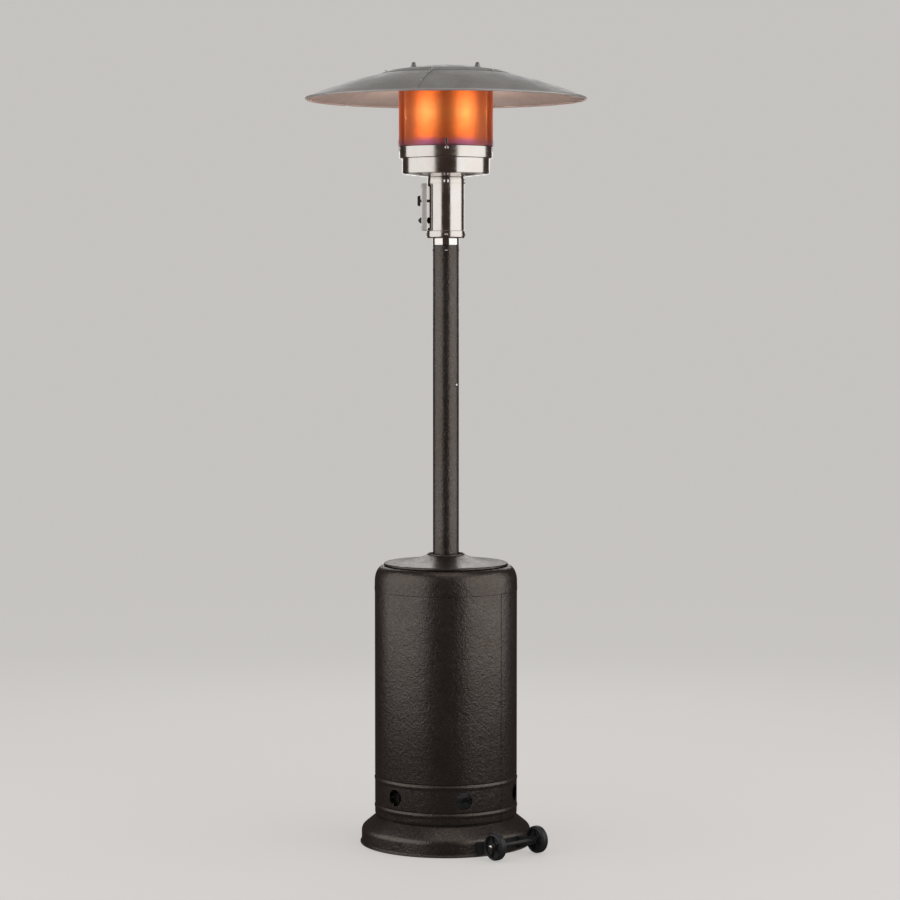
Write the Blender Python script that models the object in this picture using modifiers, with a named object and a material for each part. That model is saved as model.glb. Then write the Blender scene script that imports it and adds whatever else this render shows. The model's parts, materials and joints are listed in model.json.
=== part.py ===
"""Gas patio heater with a mushroom reflector, as an assembly of its real pieces.

All sizes below are millimetres; the helpers turn them into Blender's metres.
The origin is on the post's axis at floor level, +Z is up and the front is -Y.
An azimuth is counted in degrees from the front (-Y) towards +X.
Profiles of turned pieces are (radius, height) points; a ring's profile runs down
its outer side and back up its inner side, and a solid one starts and ends at the axis.
"""

import bmesh
import bpy
from math import ceil, cos, pi, radians, sin
from mathutils import Matrix, Vector

MM = 0.001
FIT = 0.3             # gap between pieces that touch

# Sides of the turned pieces. Pieces that fit into each other have the same number.
SEGMENTS = 36         # base, housing, lid, burner rings, emitter and reflector cap
HEAD_SEGMENTS = 28    # post, head and the pieces on them
TANK_SEGMENTS = 28    # gas cylinder and its belt
SMALL_SEGMENTS = 16
PIN_SEGMENTS = 10

# ---- gas cylinder (20 lb size) -------------------------------------------------
TANK_RADIUS = 155.0
TANK_HEIGHT = 450.0
TANK_WALL = 2.6
TANK_DOME = 74.0            # height of the domed ends
TANK_LIFT = 26.0            # floor to the lower dome
TANK_FOOT_RADIUS = 102.0
TANK_COLLAR_RADIUS = 99.0
TANK_NECK_RADIUS = 19.0
TANK_NECK_BORE = 14.0
TANK_NECK_RISE = 10.0
TANK_COLLAR_RISE = 112.0
COLLAR_OPENING_HALF = 50.0  # degrees, at the valve's outlet
HAND_SLOT_HALF = 30.0       # degrees
HAND_SLOT_TURNS = (105.0, 255.0)
HAND_SLOT_LOW = 48.0        # below the collar's top
HAND_SLOT_HIGH = 16.0
OUTLET_AZIMUTH = 10.0
OUTLET_RISE = 30.0          # above the neck
OUTLET_RADIUS = 14.0
OUTLET_REACH = 48.0
VALVE_RADIUS = 16.0
VALVE_HEIGHT = 52.0
VALVE_STUB_RADIUS = 4.0     # spindle that carries the handwheel
VALVE_THREAD = 16.0         # length inside the neck
HANDWHEEL_RADIUS = 30.0
HANDWHEEL_HEIGHT = 10.0
HANDWHEEL_NOTCHES = 5
NUT_REACH = 30.0            # coupling nut, from the axis
COUPLING_RADIUS = 26.0
COUPLING_LENGTH = 36.0
REGULATOR_RADIUS = 38.0
REGULATOR_REACH = 96.0
REGULATOR_SPIGOT = 8.0
BARB_LENGTH = 24.0
HOSE_RADIUS = 6.0
BELT_WIDTH = 30.0
BELT_HEIGHT = 255.0
BELT_SHEET = 1.6
BELT_HOOK_HALF = (9.0, 10.0)

# ---- gas cylinder housing and its lid ------------------------------------------
HOUSING_GAP = 52.0          # gas cylinder to the housing's outer face
HOUSING_RADIUS = TANK_RADIUS + HOUSING_GAP
HOUSING_SHEET = 1.2
HOUSING_FOOT_TUCK = 3.0     # the rolled lower edge
GROOVE_DEPTH = 2.0
GROOVE_HALF = 4.0
SEAM_BEAD = 1.0
SEAM_BEAD_HALF = 3.0
SHOULDER_HEIGHT = 44.0
SHOULDER_INSET = 26.0
VENT_RADIUS = 24.0
VENT_COUNT = 6
VENT_FIRST_AZIMUTH = 15.0
LID_RIM = 8.0
LID_RIM_WIDTH = 12.0
LID_NECK_CLEARANCE = 12.5   # gap between post and neck, so the housing can be hung
LID_NECK_RISE = 23.0
LID_BELL_CURVE = 2.2

# ---- base -----------------------------------------------------------------
BASE_APRON = 39.0           # how far the base's wall stands outside the housing
BASE_RADIUS = HOUSING_RADIUS + BASE_APRON
BASE_RIM = 4.0              # how far the rolled foot rim stands out
BASE_RIM_HEIGHT = 3.0
BASE_WALL_TOP = 45.0        # where the wall turns into the slope
BASE_EDGE_ROUND = 6.0
DECK_HEIGHT = 84.0          # flat deck that the gas cylinder stands on
DECK_TUCK = 8.0             # the deck's edge lies this far inside the housing's wall
BASE_SHEET = 2.0
DRAIN_RADIUS = 14.0

# Heights above the deck that the housing's grooves and vents are rolled and cut at.
HOUSING_GROOVES = (DECK_HEIGHT + 33.0, DECK_HEIGHT + 114.0)
VENT_HEIGHT = DECK_HEIGHT + 69.5

# ---- post -------------------------------------------------------------------
POST_RADIUS = 37.5
POST_WALL = 1.5
POST_ABOVE_TANK = 106.0
POST_BOTTOM = DECK_HEIGHT + TANK_HEIGHT + POST_ABOVE_TANK
POST_LENGTH = 1098.0
POST_TOP = POST_BOTTOM + POST_LENGTH
HANG_SCREW_HEIGHT = POST_BOTTOM + 695.0
HANG_SCREW_AZIMUTH = 53.0
SCREW_HEAD = 5.0
SCREW_SHANK = 2.5
SCREW_LENGTH = 8.0

# Heights of the housing that follow the post's lower end.
SHOULDER_START = POST_BOTTOM + 126.0
HOUSING_SEAM_HEIGHT = SHOULDER_START - 27.0

# ---- legs -------------------------------------------------------------------
LEG_WIDTH = 24.0
LEG_SHEET = 3.0
LEG_OFFSET = 4.0            # outwards from the middle of the gap they stand in
LEG_AZIMUTHS = (-50.0, 70.0, 190.0)
LEG_BEND_HEIGHT = POST_BOTTOM - 50.0
LEG_FOOT = 22.0
LEG_COLLAR_LOW = POST_BOTTOM + 15.0
LEG_COLLAR_HIGH = LEG_COLLAR_LOW + 90.0
LEG_COLLAR_WALL = 3.0
LEG_TOP_DROP = 10.0         # leg's upper end below the collar's top

# ---- wheels -----------------------------------------------------------------
WHEEL_RADIUS = 39.0
WHEEL_WIDTH = 24.0
WHEEL_TREAD = 7.0
WHEEL_WEB = 7.0
WHEEL_HUB_WALL = 6.0
WHEEL_AZIMUTH = 41.0
WHEEL_TRACK = 160.0
WHEEL_LIFT = 1.5            # wheels clear the ground while the base stands flat
AXLE_HEIGHT = WHEEL_RADIUS + WHEEL_LIFT
AXLE_REACH = BASE_RADIUS + WHEEL_RADIUS + 20.0
AXLE_RADIUS = 5.0
AXLE_CAP_RADIUS = 7.5
AXLE_CAP_LENGTH = 9.0
AXLE_CAP_GAP = 0.5
BRACKET_SHEET = 2.5
BRACKET_LOW = 5.0
BRACKET_HIGH = 43.0
BRACKET_EAR_RADIUS = 12.0
BRACKET_EAR_GAP = 3.5       # between the ear and the wheel
BRACKET_HALF_ANGLE = 20.0
BRACKET_BOLT_ANGLE = 11.6
BRACKET_BOLT_HEAD = 6.5

# ---- control head -------------------------------------------------------------
HEAD_RADIUS = 52.8
HEAD_SHEET = 1.2
SPIGOT_BAND = 20.0          # bright ring between the post and the head
SPIGOT_PROUD = 0.7
SPIGOT_WALL = 2.0
SPIGOT_DEPTH = 48.0
BAND_RADIUS = HEAD_RADIUS + 2.6
BAND_HEIGHT = 21.0
BAND_ROUND = 4.0
HEAD_HEIGHT = 136.0
COLLAR_HEIGHT = 18.0
PANEL_DEPTH = 16.0
PANEL_BACK = HEAD_RADIUS + 1.2      # from the axis, towards -X
PANEL_FACE = PANEL_BACK + PANEL_DEPTH
PANEL_WIDTH = 76.0
PANEL_SHEET = 1.2
PANEL_EDGE = 2.0
WINDOW_MARGIN = 14.0        # the opening behind the panel is this much narrower
WINDOW_END = 8.0
KNOB_RADIUS = 15.0
KNOB_LENGTH = 8.5
KNOB_WALL = 3.0
KNOB_CLEARANCE = 3.5
KNOB_RISE = 86.0            # above the head's floor
STEM_RADIUS = 4.0
STEM_INSIDE = 22.0          # length of the stem behind the panel's back
STEM_HOLE_CLEARANCE = 2.0
VALVE_HALF = 17.0
VALVE_INLET_DROP = 32.0
VALVE_ELBOW_RADIUS = 9.0
VALVE_ELBOW_RISE = 22.0
BUTTON_RADIUS = 9.2
BUTTON_STEM = 4.0
BUTTON_REACH = 10.0
BUTTON_RISE = 30.0
BUTTON_CLEARANCE = 0.6
IGNITER_RADIUS = 9.0
IGNITER_LENGTH = 32.0
IGNITER_BACK = 33.0         # from the panel's back to the igniter's rear end
IGNITER_BOTTOM = 6.0
TILT_SWITCH_AT = (26.0, 12.0)
TILT_SWITCH_RADIUS = 8.5
TILT_SWITCH_HEIGHT = 30.0
TILT_SWITCH_RISE = 12.0

# ---- burner and emitter --------------------------------------------------------
EMITTER_RADIUS = 136.0
EMITTER_HEIGHT = 194.0
EMITTER_OVERLAP = 3.0
EMITTER_SHEET = 1.2
TOP_PLATE_DEPTH = 14.0
RING_CLEARANCE = 0.8        # between the upper ring and the emitter over it
UPPER_RING_RADIUS = EMITTER_RADIUS - EMITTER_SHEET - RING_CLEARANCE
UPPER_RING_HEIGHT = 36.0
RING_STEP = 8.0
RING_ROUND = 2.0
LOWER_RING_RADIUS = UPPER_RING_RADIUS - RING_STEP
LOWER_RING_HEIGHT = 43.0
RING_SHEET = 1.5
RING_LEDGE = 12.0
DISH_RISE = 8.0
DISH_INSET = 5.0            # the dish's edge inside the lower ring
DISH_SLOTS = 6
DISH_SLOT_HALF = 12.0       # degrees
DISH_SLOT_MARGIN = (23.2, 21.0)     # from the head, and from the dish's edge
LEAD_RING = 36.0            # clear hole that the burner tube and leads pass through
MIXER_RADIUS = 20.0
MIXER_FLANGE = 14.0
MIXER_RISE = 18.0
MIXER_GAP = 6.0             # above the jet, where air is drawn in
JET_RADIUS = 7.0
JET_HEIGHT = 12.0
PILOT_ROOM = 64.0           # between the drum burner and the lower ring's wall
BURNER_RADIUS = LOWER_RING_RADIUS - PILOT_ROOM
BURNER_HEIGHT = 34.0
PILOT_REACH = BURNER_RADIUS + 22.0
PILOT_STEP = 14.0           # between the pilot, the thermocouple and the electrode
PILOT_RADIUS = 3.0
PILOT_TAIL = 8.0
LEAD_RADIUS = 1.5
LEAD_SPACING = 22.0

# ---- reflector -------------------------------------------------------------------
REFLECTOR_RADIUS = 405.6
REFLECTOR_RISE = 90.0
REFLECTOR_CURVE = 1.8
REFLECTOR_RIM_ABOVE_POST = 422.0
REFLECTOR_SHEET = 1.2
REFLECTOR_HEM = 6.0
REFLECTOR_PANELS = 3
PANEL_INNER_RADIUS = EMITTER_RADIUS + 10.0
CAP_RADIUS = PANEL_INNER_RADIUS + 40.0
CAP_STEP_RADIUS = PANEL_INNER_RADIUS + 22.0
CAP_STEP = 2.4
SEAM_FIRST_AZIMUTH = -12.5
SEAM_GAP = 0.15             # degrees
STUD_RING = EMITTER_RADIUS - 31.0
STUD_FIRST_AZIMUTH = -61.0
STUD_COUNT = 3
STUD_RADIUS = 3.0
STUD_TAIL = 6.0
SPACER_RADIUS = 6.0
NUT_RADIUS = 7.0
NUT_HEIGHT = 10.0
NUT_ROOF = 3.0

PARTS = "patio_heater"
HELPERS = "cutters"

# ---- looks: colour, roughness, metallic ------------------------------------------
BRONZE = ((0.045, 0.038, 0.034), 0.42, 0.55)
STEEL = ((0.62, 0.60, 0.58), 0.22, 1.0)
CHROME = ((0.75, 0.74, 0.73), 0.12, 1.0)
ALUMINIUM = ((0.50, 0.49, 0.48), 0.38, 1.0)
BLACK_PLASTIC = ((0.015, 0.015, 0.016), 0.45, 0.0)
BLACK_STEEL = ((0.02, 0.02, 0.02), 0.5, 0.3)
GREY_PAINT = ((0.55, 0.56, 0.57), 0.4, 0.0)
BRASS = ((0.72, 0.50, 0.20), 0.3, 1.0)
CAST_ZINC = ((0.42, 0.43, 0.44), 0.45, 0.8)
GLOWING = ((0.85, 0.25, 0.05), 0.6, 0.2)
RUBBER = ((0.02, 0.02, 0.02), 0.7, 0.0)
COPPER = ((0.80, 0.42, 0.25), 0.3, 1.0)
CERAMIC = ((0.85, 0.83, 0.78), 0.5, 0.0)


# ==== helpers =======================================================================

def collection(name):
    """The scene's collection of that name, made when it is first asked for."""
    found = bpy.data.collections.get(name)
    if found is None:
        found = bpy.data.collections.new(name)
        bpy.context.scene.collection.children.link(found)
    return found


def around(azimuth, radius, height=0.0):
    """A point at an azimuth, a distance from the axis and a height."""
    angle = radians(azimuth)
    return Vector((radius * sin(angle), -radius * cos(angle), height))


def place(name, mesh, look, matrix=None):
    """A named object with its own material."""
    made = bpy.data.objects.new(name, mesh)
    collection(PARTS).objects.link(made)
    if matrix is not None:
        made.matrix_world = matrix
    colour, roughness, metallic = look
    material = bpy.data.materials.new(name)
    material.use_nodes = True
    shader = material.node_tree.nodes["Principled BSDF"]
    shader.inputs["Base Color"].default_value = (*colour, 1.0)
    shader.inputs["Roughness"].default_value = roughness
    shader.inputs["Metallic"].default_value = metallic
    mesh.materials.append(material)
    mesh.shade_smooth()
    mesh.set_sharp_from_angle(angle=radians(35))
    return made


def aimed(origin, direction):
    """The matrix that puts local +Z along a direction, at an origin in millimetres."""
    turn = Vector(direction).to_track_quat("Z", "Y").to_matrix().to_4x4()
    return Matrix.Translation(Vector(origin) * MM) @ turn


def profile_mesh(name, profile, ring):
    """A mesh of the profile's edges, in the XZ plane."""
    mesh = bpy.data.meshes.new(name)
    points = [(radius * MM, 0.0, height * MM) for radius, height in profile]
    edges = [(i, i + 1) for i in range(len(points) - 1)]
    if ring:
        edges.append((len(points) - 1, 0))
    mesh.from_pydata(points, edges, [])
    return mesh


def add_screw(target, segments, sweep=360.0):
    screw = target.modifiers.new("turn", "SCREW")
    screw.axis = "Z"
    screw.angle = radians(sweep)
    screw.steps = screw.render_steps = segments
    screw.use_merge_vertices = True
    screw.merge_threshold = 0.000001
    screw.use_smooth_shade = True
    return screw


def turned(name, profile, look, segments=SMALL_SEGMENTS, matrix=None, ring=True):
    """A turned piece about its own Z axis."""
    made = place(name, profile_mesh(name, profile, ring), look, matrix)
    add_screw(made, segments)
    return made


def tube(name, outer, inner, low, high, look, segments=SMALL_SEGMENTS, matrix=None):
    profile = [(outer, high), (outer, low), (inner, low), (inner, high)]
    return turned(name, profile, look, segments, matrix)


def boolean(target, other, operation):
    """Cut or join another object; the other one becomes a hidden helper."""
    for owner in list(other.users_collection):
        owner.objects.unlink(other)
    collection(HELPERS).objects.link(other)
    other.hide_render = True
    other.display_type = "WIRE"
    step = target.modifiers.new(other.name, "BOOLEAN")
    step.operation = operation
    step.solver = "EXACT"
    step.object = other
    return target


def cylinder(name, radius, start, end, look, segments=SMALL_SEGMENTS):
    """A round bar between two points, with its origin at the first."""
    start, end = Vector(start), Vector(end)
    length = (end - start).length
    mesh = bpy.data.meshes.new(name)
    build = bmesh.new()
    bmesh.ops.create_cone(
        build, cap_ends=True, segments=segments, radius1=radius * MM, radius2=radius * MM,
        depth=length * MM, matrix=Matrix.Translation((0.0, 0.0, length * MM / 2)))
    build.to_mesh(mesh)
    build.free()
    return place(name, mesh, look, aimed(start, end - start))


def block(name, low, high, look, matrix=None):
    """A box between two corners."""
    low, high = Vector(low), Vector(high)
    mesh = bpy.data.meshes.new(name)
    build = bmesh.new()
    bmesh.ops.create_cube(build, size=1.0)
    bmesh.ops.scale(build, vec=(high - low) * MM, verts=build.verts)
    bmesh.ops.translate(build, vec=(low + high) * MM / 2, verts=build.verts)
    build.to_mesh(mesh)
    build.free()
    return place(name, mesh, look, matrix)


def plate(name, outline, low, high, look, matrix=None):
    """A flat outline in XY, extruded from one height to another."""
    curve = bpy.data.curves.new(name, "CURVE")
    curve.dimensions = "2D"
    curve.fill_mode = "BOTH"
    curve.extrude = (high - low) * MM / 2
    spline = curve.splines.new("POLY")
    spline.points.add(len(outline) - 1)
    for point, (x, y) in zip(spline.points, outline):
        point.co = (x * MM, y * MM, 0.0, 1.0)
    spline.use_cyclic_u = True
    mesh = welded_mesh(name, curve)
    mesh.transform(Matrix.Translation((0.0, 0.0, (low + high) * MM / 2)))
    return place(name, mesh, look, matrix)


def wire(name, points, radius, look, sides=2):
    """A round tube along a smooth route through the points."""
    curve = bpy.data.curves.new(name, "CURVE")
    curve.dimensions = "3D"
    curve.bevel_depth = radius * MM
    curve.bevel_resolution = sides
    curve.use_fill_caps = True
    curve.resolution_u = 1
    spline = curve.splines.new("POLY")
    spline.points.add(len(points) - 1)
    for point, place_at in zip(spline.points, points):
        point.co = (*(Vector(place_at) * MM), 1.0)
    return place(name, welded_mesh(name, curve), look)


def welded_mesh(name, curve):
    """A curve's mesh with its caps joined on."""
    scratch = bpy.data.objects.new(name + "_curve", curve)
    bpy.context.scene.collection.objects.link(scratch)
    bpy.context.view_layer.update()
    evaluated = scratch.evaluated_get(bpy.context.evaluated_depsgraph_get())
    mesh = bpy.data.meshes.new_from_object(evaluated)
    mesh.name = name
    build = bmesh.new()
    build.from_mesh(mesh)
    bmesh.ops.remove_doubles(build, verts=build.verts, dist=0.000005)
    bmesh.ops.recalc_face_normals(build, faces=build.faces)
    build.to_mesh(mesh)
    build.free()
    bpy.data.objects.remove(scratch)
    bpy.data.curves.remove(curve)
    mesh.materials.clear()
    return mesh


def smooth_route(points, spacing):
    """Points about one spacing apart on a Catmull-Rom curve through the given ones."""
    given = [Vector(point) for point in points]
    given = [2 * given[0] - given[1], *given, 2 * given[-1] - given[-2]]
    route = [given[1]]
    for a, b, c, d in zip(given, given[1:], given[2:], given[3:]):
        steps = max(1, ceil((c - b).length / spacing))
        for step in range(1, steps + 1):
            t = step / steps
            route.append(0.5 * (2 * b + (c - a) * t + (2 * a - 5 * b + 4 * c - d) * t * t
                                + (3 * b - 3 * c + d - a) * t * t * t))
    return route


def arc_outline(inner, outer, start, end, steps=10):
    """The outline of a ring's sector, in XY, between two azimuths."""
    angles = [start + (end - start) * i / steps for i in range(steps + 1)]
    outside = [around(a, outer).xy for a in angles]
    inside = [around(a, inner).xy for a in reversed(angles)]
    return outside + inside


def radial_hole(target, name, azimuth, surface, height):
    """A screw's clearance hole through a wall that faces away from the axis."""
    depth = 12.0
    hole = cylinder(name, SCREW_SHANK + FIT, around(azimuth, surface - depth / 2, height),
                    around(azimuth, surface + depth / 2, height), STEEL, PIN_SEGMENTS)
    boolean(target, hole, "DIFFERENCE")


def standing(azimuth):
    """Turns a flat outline of (distance from the axis, height) up, at an azimuth."""
    out = around(azimuth, 1.0)
    return Matrix((
        (out.x, 0.0, -out.y, 0.0),
        (out.y, 0.0, out.x, 0.0),
        (0.0, 1.0, 0.0, 0.0),
        (0.0, 0.0, 0.0, 1.0)))


def copy_of(source, name, matrix):
    """Another object with the same mesh and the same modifiers' settings."""
    made = bpy.data.objects.new(name, source.data)
    collection(PARTS).objects.link(made)
    made.matrix_world = matrix
    add_screw(made, source.modifiers["turn"].steps)
    return made


# ==== base, wheels and legs ===========================================================

def slope_height(radius):
    """Height of the base's outer surface where it slopes up to the deck."""
    run = BASE_RADIUS - deck_edge()
    return DECK_HEIGHT - (radius - deck_edge()) * (DECK_HEIGHT - BASE_WALL_TOP) / run


def deck_edge():
    """Radius where the slope meets the flat deck, inside the housing's wall."""
    return HOUSING_RADIUS - DECK_TUCK


def build_base():
    rim = BASE_RADIUS + BASE_RIM
    sheet = BASE_SHEET
    bend = BASE_RADIUS - BASE_EDGE_ROUND
    outer = [
        (DRAIN_RADIUS, DECK_HEIGHT),
        (deck_edge(), DECK_HEIGHT),
        (bend, slope_height(bend)),
        (BASE_RADIUS, BASE_WALL_TOP - 8),
        (BASE_RADIUS, BASE_RIM_HEIGHT + 1),
        (rim, BASE_RIM_HEIGHT),
        (rim, 0.0),
    ]
    inner = [
        (BASE_RADIUS - sheet, 0.0),
        (BASE_RADIUS - sheet, BASE_WALL_TOP - 9),
        (bend - sheet, slope_height(bend) - 1.2),
        (deck_edge() - 1, DECK_HEIGHT - sheet),
        (DRAIN_RADIUS, DECK_HEIGHT - sheet),
    ]
    base = turned("base_shell", outer + inner, BRONZE, SEGMENTS)
    for index, azimuth in enumerate(bracket_bolt_azimuths()):
        radial_hole(base, "base_bolt_hole_%d" % (index + 1), azimuth, BASE_RADIUS,
                    bracket_middle())


def bracket_middle():
    return (BRACKET_LOW + BRACKET_HIGH) / 2


def bracket_bolt_azimuths():
    return (WHEEL_AZIMUTH - BRACKET_BOLT_ANGLE, WHEEL_AZIMUTH + BRACKET_BOLT_ANGLE)


def axle_direction():
    angle = radians(WHEEL_AZIMUTH)
    return Vector((cos(angle), sin(angle), 0.0))


def axle_point(along):
    """A point on the axle, at a distance from its middle towards +X."""
    return around(WHEEL_AZIMUTH, AXLE_REACH, AXLE_HEIGHT) + along * axle_direction()


def build_wheel_bracket():
    inner = BASE_RADIUS + FIT
    outer = inner + BRACKET_SHEET
    bracket = plate(
        "wheel_bracket",
        arc_outline(inner, outer, WHEEL_AZIMUTH - BRACKET_HALF_ANGLE,
                    WHEEL_AZIMUTH + BRACKET_HALF_ANGLE, 12),
        BRACKET_LOW, BRACKET_HIGH, BLACK_STEEL)
    ear_at = (WHEEL_TRACK - WHEEL_WIDTH) / 2 - BRACKET_EAR_GAP
    half = BRACKET_SHEET / 2
    round_end = BRACKET_EAR_RADIUS
    for side, name in ((-1, "near"), (1, "far")):
        root = (inner ** 2 - ear_at ** 2) ** 0.5 + half
        end = [(AXLE_REACH + round_end * sin(a), AXLE_HEIGHT - round_end * cos(a))
               for a in (radians(30 * step) for step in range(1, 6))]
        outline = [(root, BRACKET_LOW + 2), *end, (root, BRACKET_HIGH - 1)]
        middle = axle_direction() * (side * ear_at * MM)
        ear = plate("bracket_ear_" + name, outline, -half, half, BLACK_STEEL,
                    Matrix.Translation(middle) @ standing(WHEEL_AZIMUTH))
        boolean(bracket, ear, "UNION")
    bore = cylinder("bracket_axle_bore", AXLE_RADIUS + FIT, axle_point(-WHEEL_TRACK / 2),
                    axle_point(WHEEL_TRACK / 2), STEEL)
    boolean(bracket, bore, "DIFFERENCE")
    for index, azimuth in enumerate(bracket_bolt_azimuths()):
        radial_hole(bracket, "bracket_bolt_hole_%d" % (index + 1), azimuth, BASE_RADIUS,
                    bracket_middle())
        screw("bracket_bolt_%d" % (index + 1), azimuth, outer, bracket_middle(),
              BRACKET_BOLT_HEAD, BRACKET_SHEET + BASE_SHEET + SCREW_LENGTH)


def screw(name, azimuth, surface, height, head=SCREW_HEAD, length=SCREW_LENGTH):
    """A round-headed screw that stands out from a surface at a distance from the axis."""
    profile = [(0.0, 3.6), (head * 0.55, 3.1), (head * 0.9, 1.8), (head, 0.0),
               (SCREW_SHANK, 0.0), (SCREW_SHANK, -length), (0.0, -length)]
    seat = around(azimuth, surface + FIT + 0.2, height)
    return turned(name, profile, CHROME, PIN_SEGMENTS, aimed(seat, around(azimuth, 1.0)),
                  ring=False)


def build_wheels():
    half = WHEEL_WIDTH / 2
    web = WHEEL_WEB / 2
    bore = AXLE_RADIUS + FIT
    hub = AXLE_RADIUS + WHEEL_HUB_WALL
    inside = WHEEL_RADIUS - WHEEL_TREAD
    outside = [(hub, half), (hub, web), (inside, web), (inside, half),
               (WHEEL_RADIUS - 3, half), (WHEEL_RADIUS, half - 3)]
    mirrored = [(radius, -height) for radius, height in reversed(outside)]
    profile = [(bore, half), *outside, *mirrored, (bore, -half)]
    track = WHEEL_TRACK / 2
    near = turned("wheel_near", profile, BLACK_PLASTIC, 22,
                  aimed(axle_point(-track), axle_direction()))
    copy_of(near, "wheel_far", aimed(axle_point(track), axle_direction()))
    length = AXLE_CAP_LENGTH
    roof = length - 2
    tip = track + half + roof
    cylinder("wheel_axle", AXLE_RADIUS, axle_point(-tip), axle_point(tip), STEEL)
    for side, name in ((-1, "near"), (1, "far")):
        cap = [(0.0, length), (AXLE_CAP_RADIUS * 0.6, length),
               (AXLE_CAP_RADIUS, length - 2.5), (AXLE_CAP_RADIUS, 0.0),
               (bore, 0.0), (bore, roof + FIT), (0.0, roof + FIT)]
        seat = axle_point(side * (track + half + AXLE_CAP_GAP))
        turned("axle_cap_" + name, cap, CHROME, SMALL_SEGMENTS,
               aimed(seat, side * axle_direction()), ring=False)


def leg_radius():
    """Middle of the leg's sheet, in the space between gas cylinder and housing."""
    return (TANK_RADIUS + HOUSING_RADIUS) / 2 + LEG_OFFSET


def build_legs():
    collar_out = POST_RADIUS + FIT + LEG_COLLAR_WALL
    tube("leg_collar", collar_out, POST_RADIUS + FIT, LEG_COLLAR_LOW, LEG_COLLAR_HIGH,
         BRONZE, HEAD_SEGMENTS)
    half = LEG_SHEET / 2
    radius = leg_radius()
    foot = DECK_HEIGHT + FIT
    flat_to_collar = collar_out + FIT
    bend_top = LEG_COLLAR_LOW + 8
    outline = [
        (radius + half, foot),
        (radius + half, LEG_BEND_HEIGHT + 2),
        (flat_to_collar + LEG_SHEET, bend_top),
        (flat_to_collar + LEG_SHEET, LEG_COLLAR_HIGH - LEG_TOP_DROP),
        (flat_to_collar, LEG_COLLAR_HIGH - LEG_TOP_DROP),
        (flat_to_collar, bend_top - 1.5),
        (radius - half, LEG_BEND_HEIGHT),
        (radius - half, foot + LEG_SHEET),
        (radius - half - LEG_FOOT, foot + LEG_SHEET),
        (radius - half - LEG_FOOT, foot),
    ]
    for index, azimuth in enumerate(LEG_AZIMUTHS):
        plate("support_leg_%d" % (index + 1), outline, -LEG_WIDTH / 2, LEG_WIDTH / 2,
              BRONZE, standing(azimuth))


# ==== post ==============================================================================

def build_post():
    post = tube("post", POST_RADIUS, POST_RADIUS - POST_WALL, POST_BOTTOM, POST_TOP,
                BRONZE, HEAD_SEGMENTS)
    radial_hole(post, "post_screw_hole", HANG_SCREW_AZIMUTH, POST_RADIUS, HANG_SCREW_HEIGHT)
    screw("hang_screw", HANG_SCREW_AZIMUTH, POST_RADIUS, HANG_SCREW_HEIGHT)


# ==== housing ===========================================================================

def housing_bottom():
    """The rolled lower edge stands on the base's slope."""
    return slope_height(HOUSING_RADIUS - HOUSING_FOOT_TUCK - HOUSING_SHEET) + 2 * FIT


def housing_top():
    return SHOULDER_START + SHOULDER_HEIGHT


def groove(radius, height):
    """Outline points of one rolled groove, from above."""
    return [(radius, height + GROOVE_HALF), (radius - GROOVE_DEPTH, height),
            (radius, height - GROOVE_HALF)]


def shoulder(radius, steps=4):
    """Quarter of an ellipse from the rim of the top opening down to the wall."""
    return [(radius - SHOULDER_INSET + SHOULDER_INSET * sin(angle),
             SHOULDER_START + SHOULDER_HEIGHT * cos(angle))
            for angle in (pi / 2 * step / steps for step in range(steps + 1))]


def build_housing():
    outer = HOUSING_RADIUS
    sheet = HOUSING_SHEET
    bottom = housing_bottom()
    foot = outer - HOUSING_FOOT_TUCK
    outside = [
        *shoulder(outer),
        (outer, HOUSING_SEAM_HEIGHT + SEAM_BEAD_HALF),
        (outer + SEAM_BEAD, HOUSING_SEAM_HEIGHT),
        (outer, HOUSING_SEAM_HEIGHT - SEAM_BEAD_HALF),
        *groove(outer, HOUSING_GROOVES[1]),
        *groove(outer, HOUSING_GROOVES[0]),
        (outer, bottom + 4),
        (foot, bottom),
    ]
    inward = GROOVE_DEPTH + sheet
    inside = [(foot - sheet, bottom), (outer - inward, bottom + 5),
              (outer - inward, SHOULDER_START)]
    inside += [(radius - inward, height) for radius, height in reversed(shoulder(outer)[1:-1:2])]
    inside.append((outer - SHOULDER_INSET - inward, housing_top() - sheet))
    housing = turned("tank_housing", outside + inside, BRONZE, SEGMENTS)
    for index in range(VENT_COUNT):
        azimuth = VENT_FIRST_AZIMUTH + 360.0 / VENT_COUNT * index
        hole = cylinder("vent_hole_%d" % (index + 1), VENT_RADIUS,
                        around(azimuth, outer - VENT_RADIUS, VENT_HEIGHT),
                        around(azimuth, outer + VENT_RADIUS, VENT_HEIGHT), STEEL)
        boolean(housing, hole, "DIFFERENCE")


def lid_neck_radius():
    return POST_RADIUS + LID_NECK_CLEARANCE


def lid_surface(steps=4):
    """The bell from the neck outwards, as (radius, height) from the top down."""
    start = lid_neck_radius() + 5.0
    end = HOUSING_RADIUS - SHOULDER_INSET - 4.0
    low = housing_top() + LID_RIM
    points = []
    for step in range(steps + 1):
        share = step / steps
        radius = start + (end - start) * share
        height = low + LID_NECK_RISE * (1 - share) ** LID_BELL_CURVE
        points.append((radius, height))
    return points


def build_lid():
    sheet = HOUSING_SHEET
    surface = lid_surface()
    rim = HOUSING_RADIUS - SHOULDER_INSET
    base = housing_top() + FIT
    neck = lid_neck_radius()
    top = surface[0][1] + 4
    outside = [(neck + 3, top), *surface, (rim - 1.5, base + 5.5), (rim - 1.0, base)]
    inside = [(rim - LID_RIM_WIDTH, base), (rim - LID_RIM_WIDTH, base + 4)]
    inside += [(radius - 1, height - sheet) for radius, height in reversed(surface[:-1:2])]
    inside += [(neck, surface[0][1] - 3), (neck, top - 1.5)]
    turned("housing_lid", outside + inside, BRONZE, SEGMENTS)


# ==== gas cylinder and its fittings ====================================================

def tank_base():
    return DECK_HEIGHT + FIT


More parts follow.
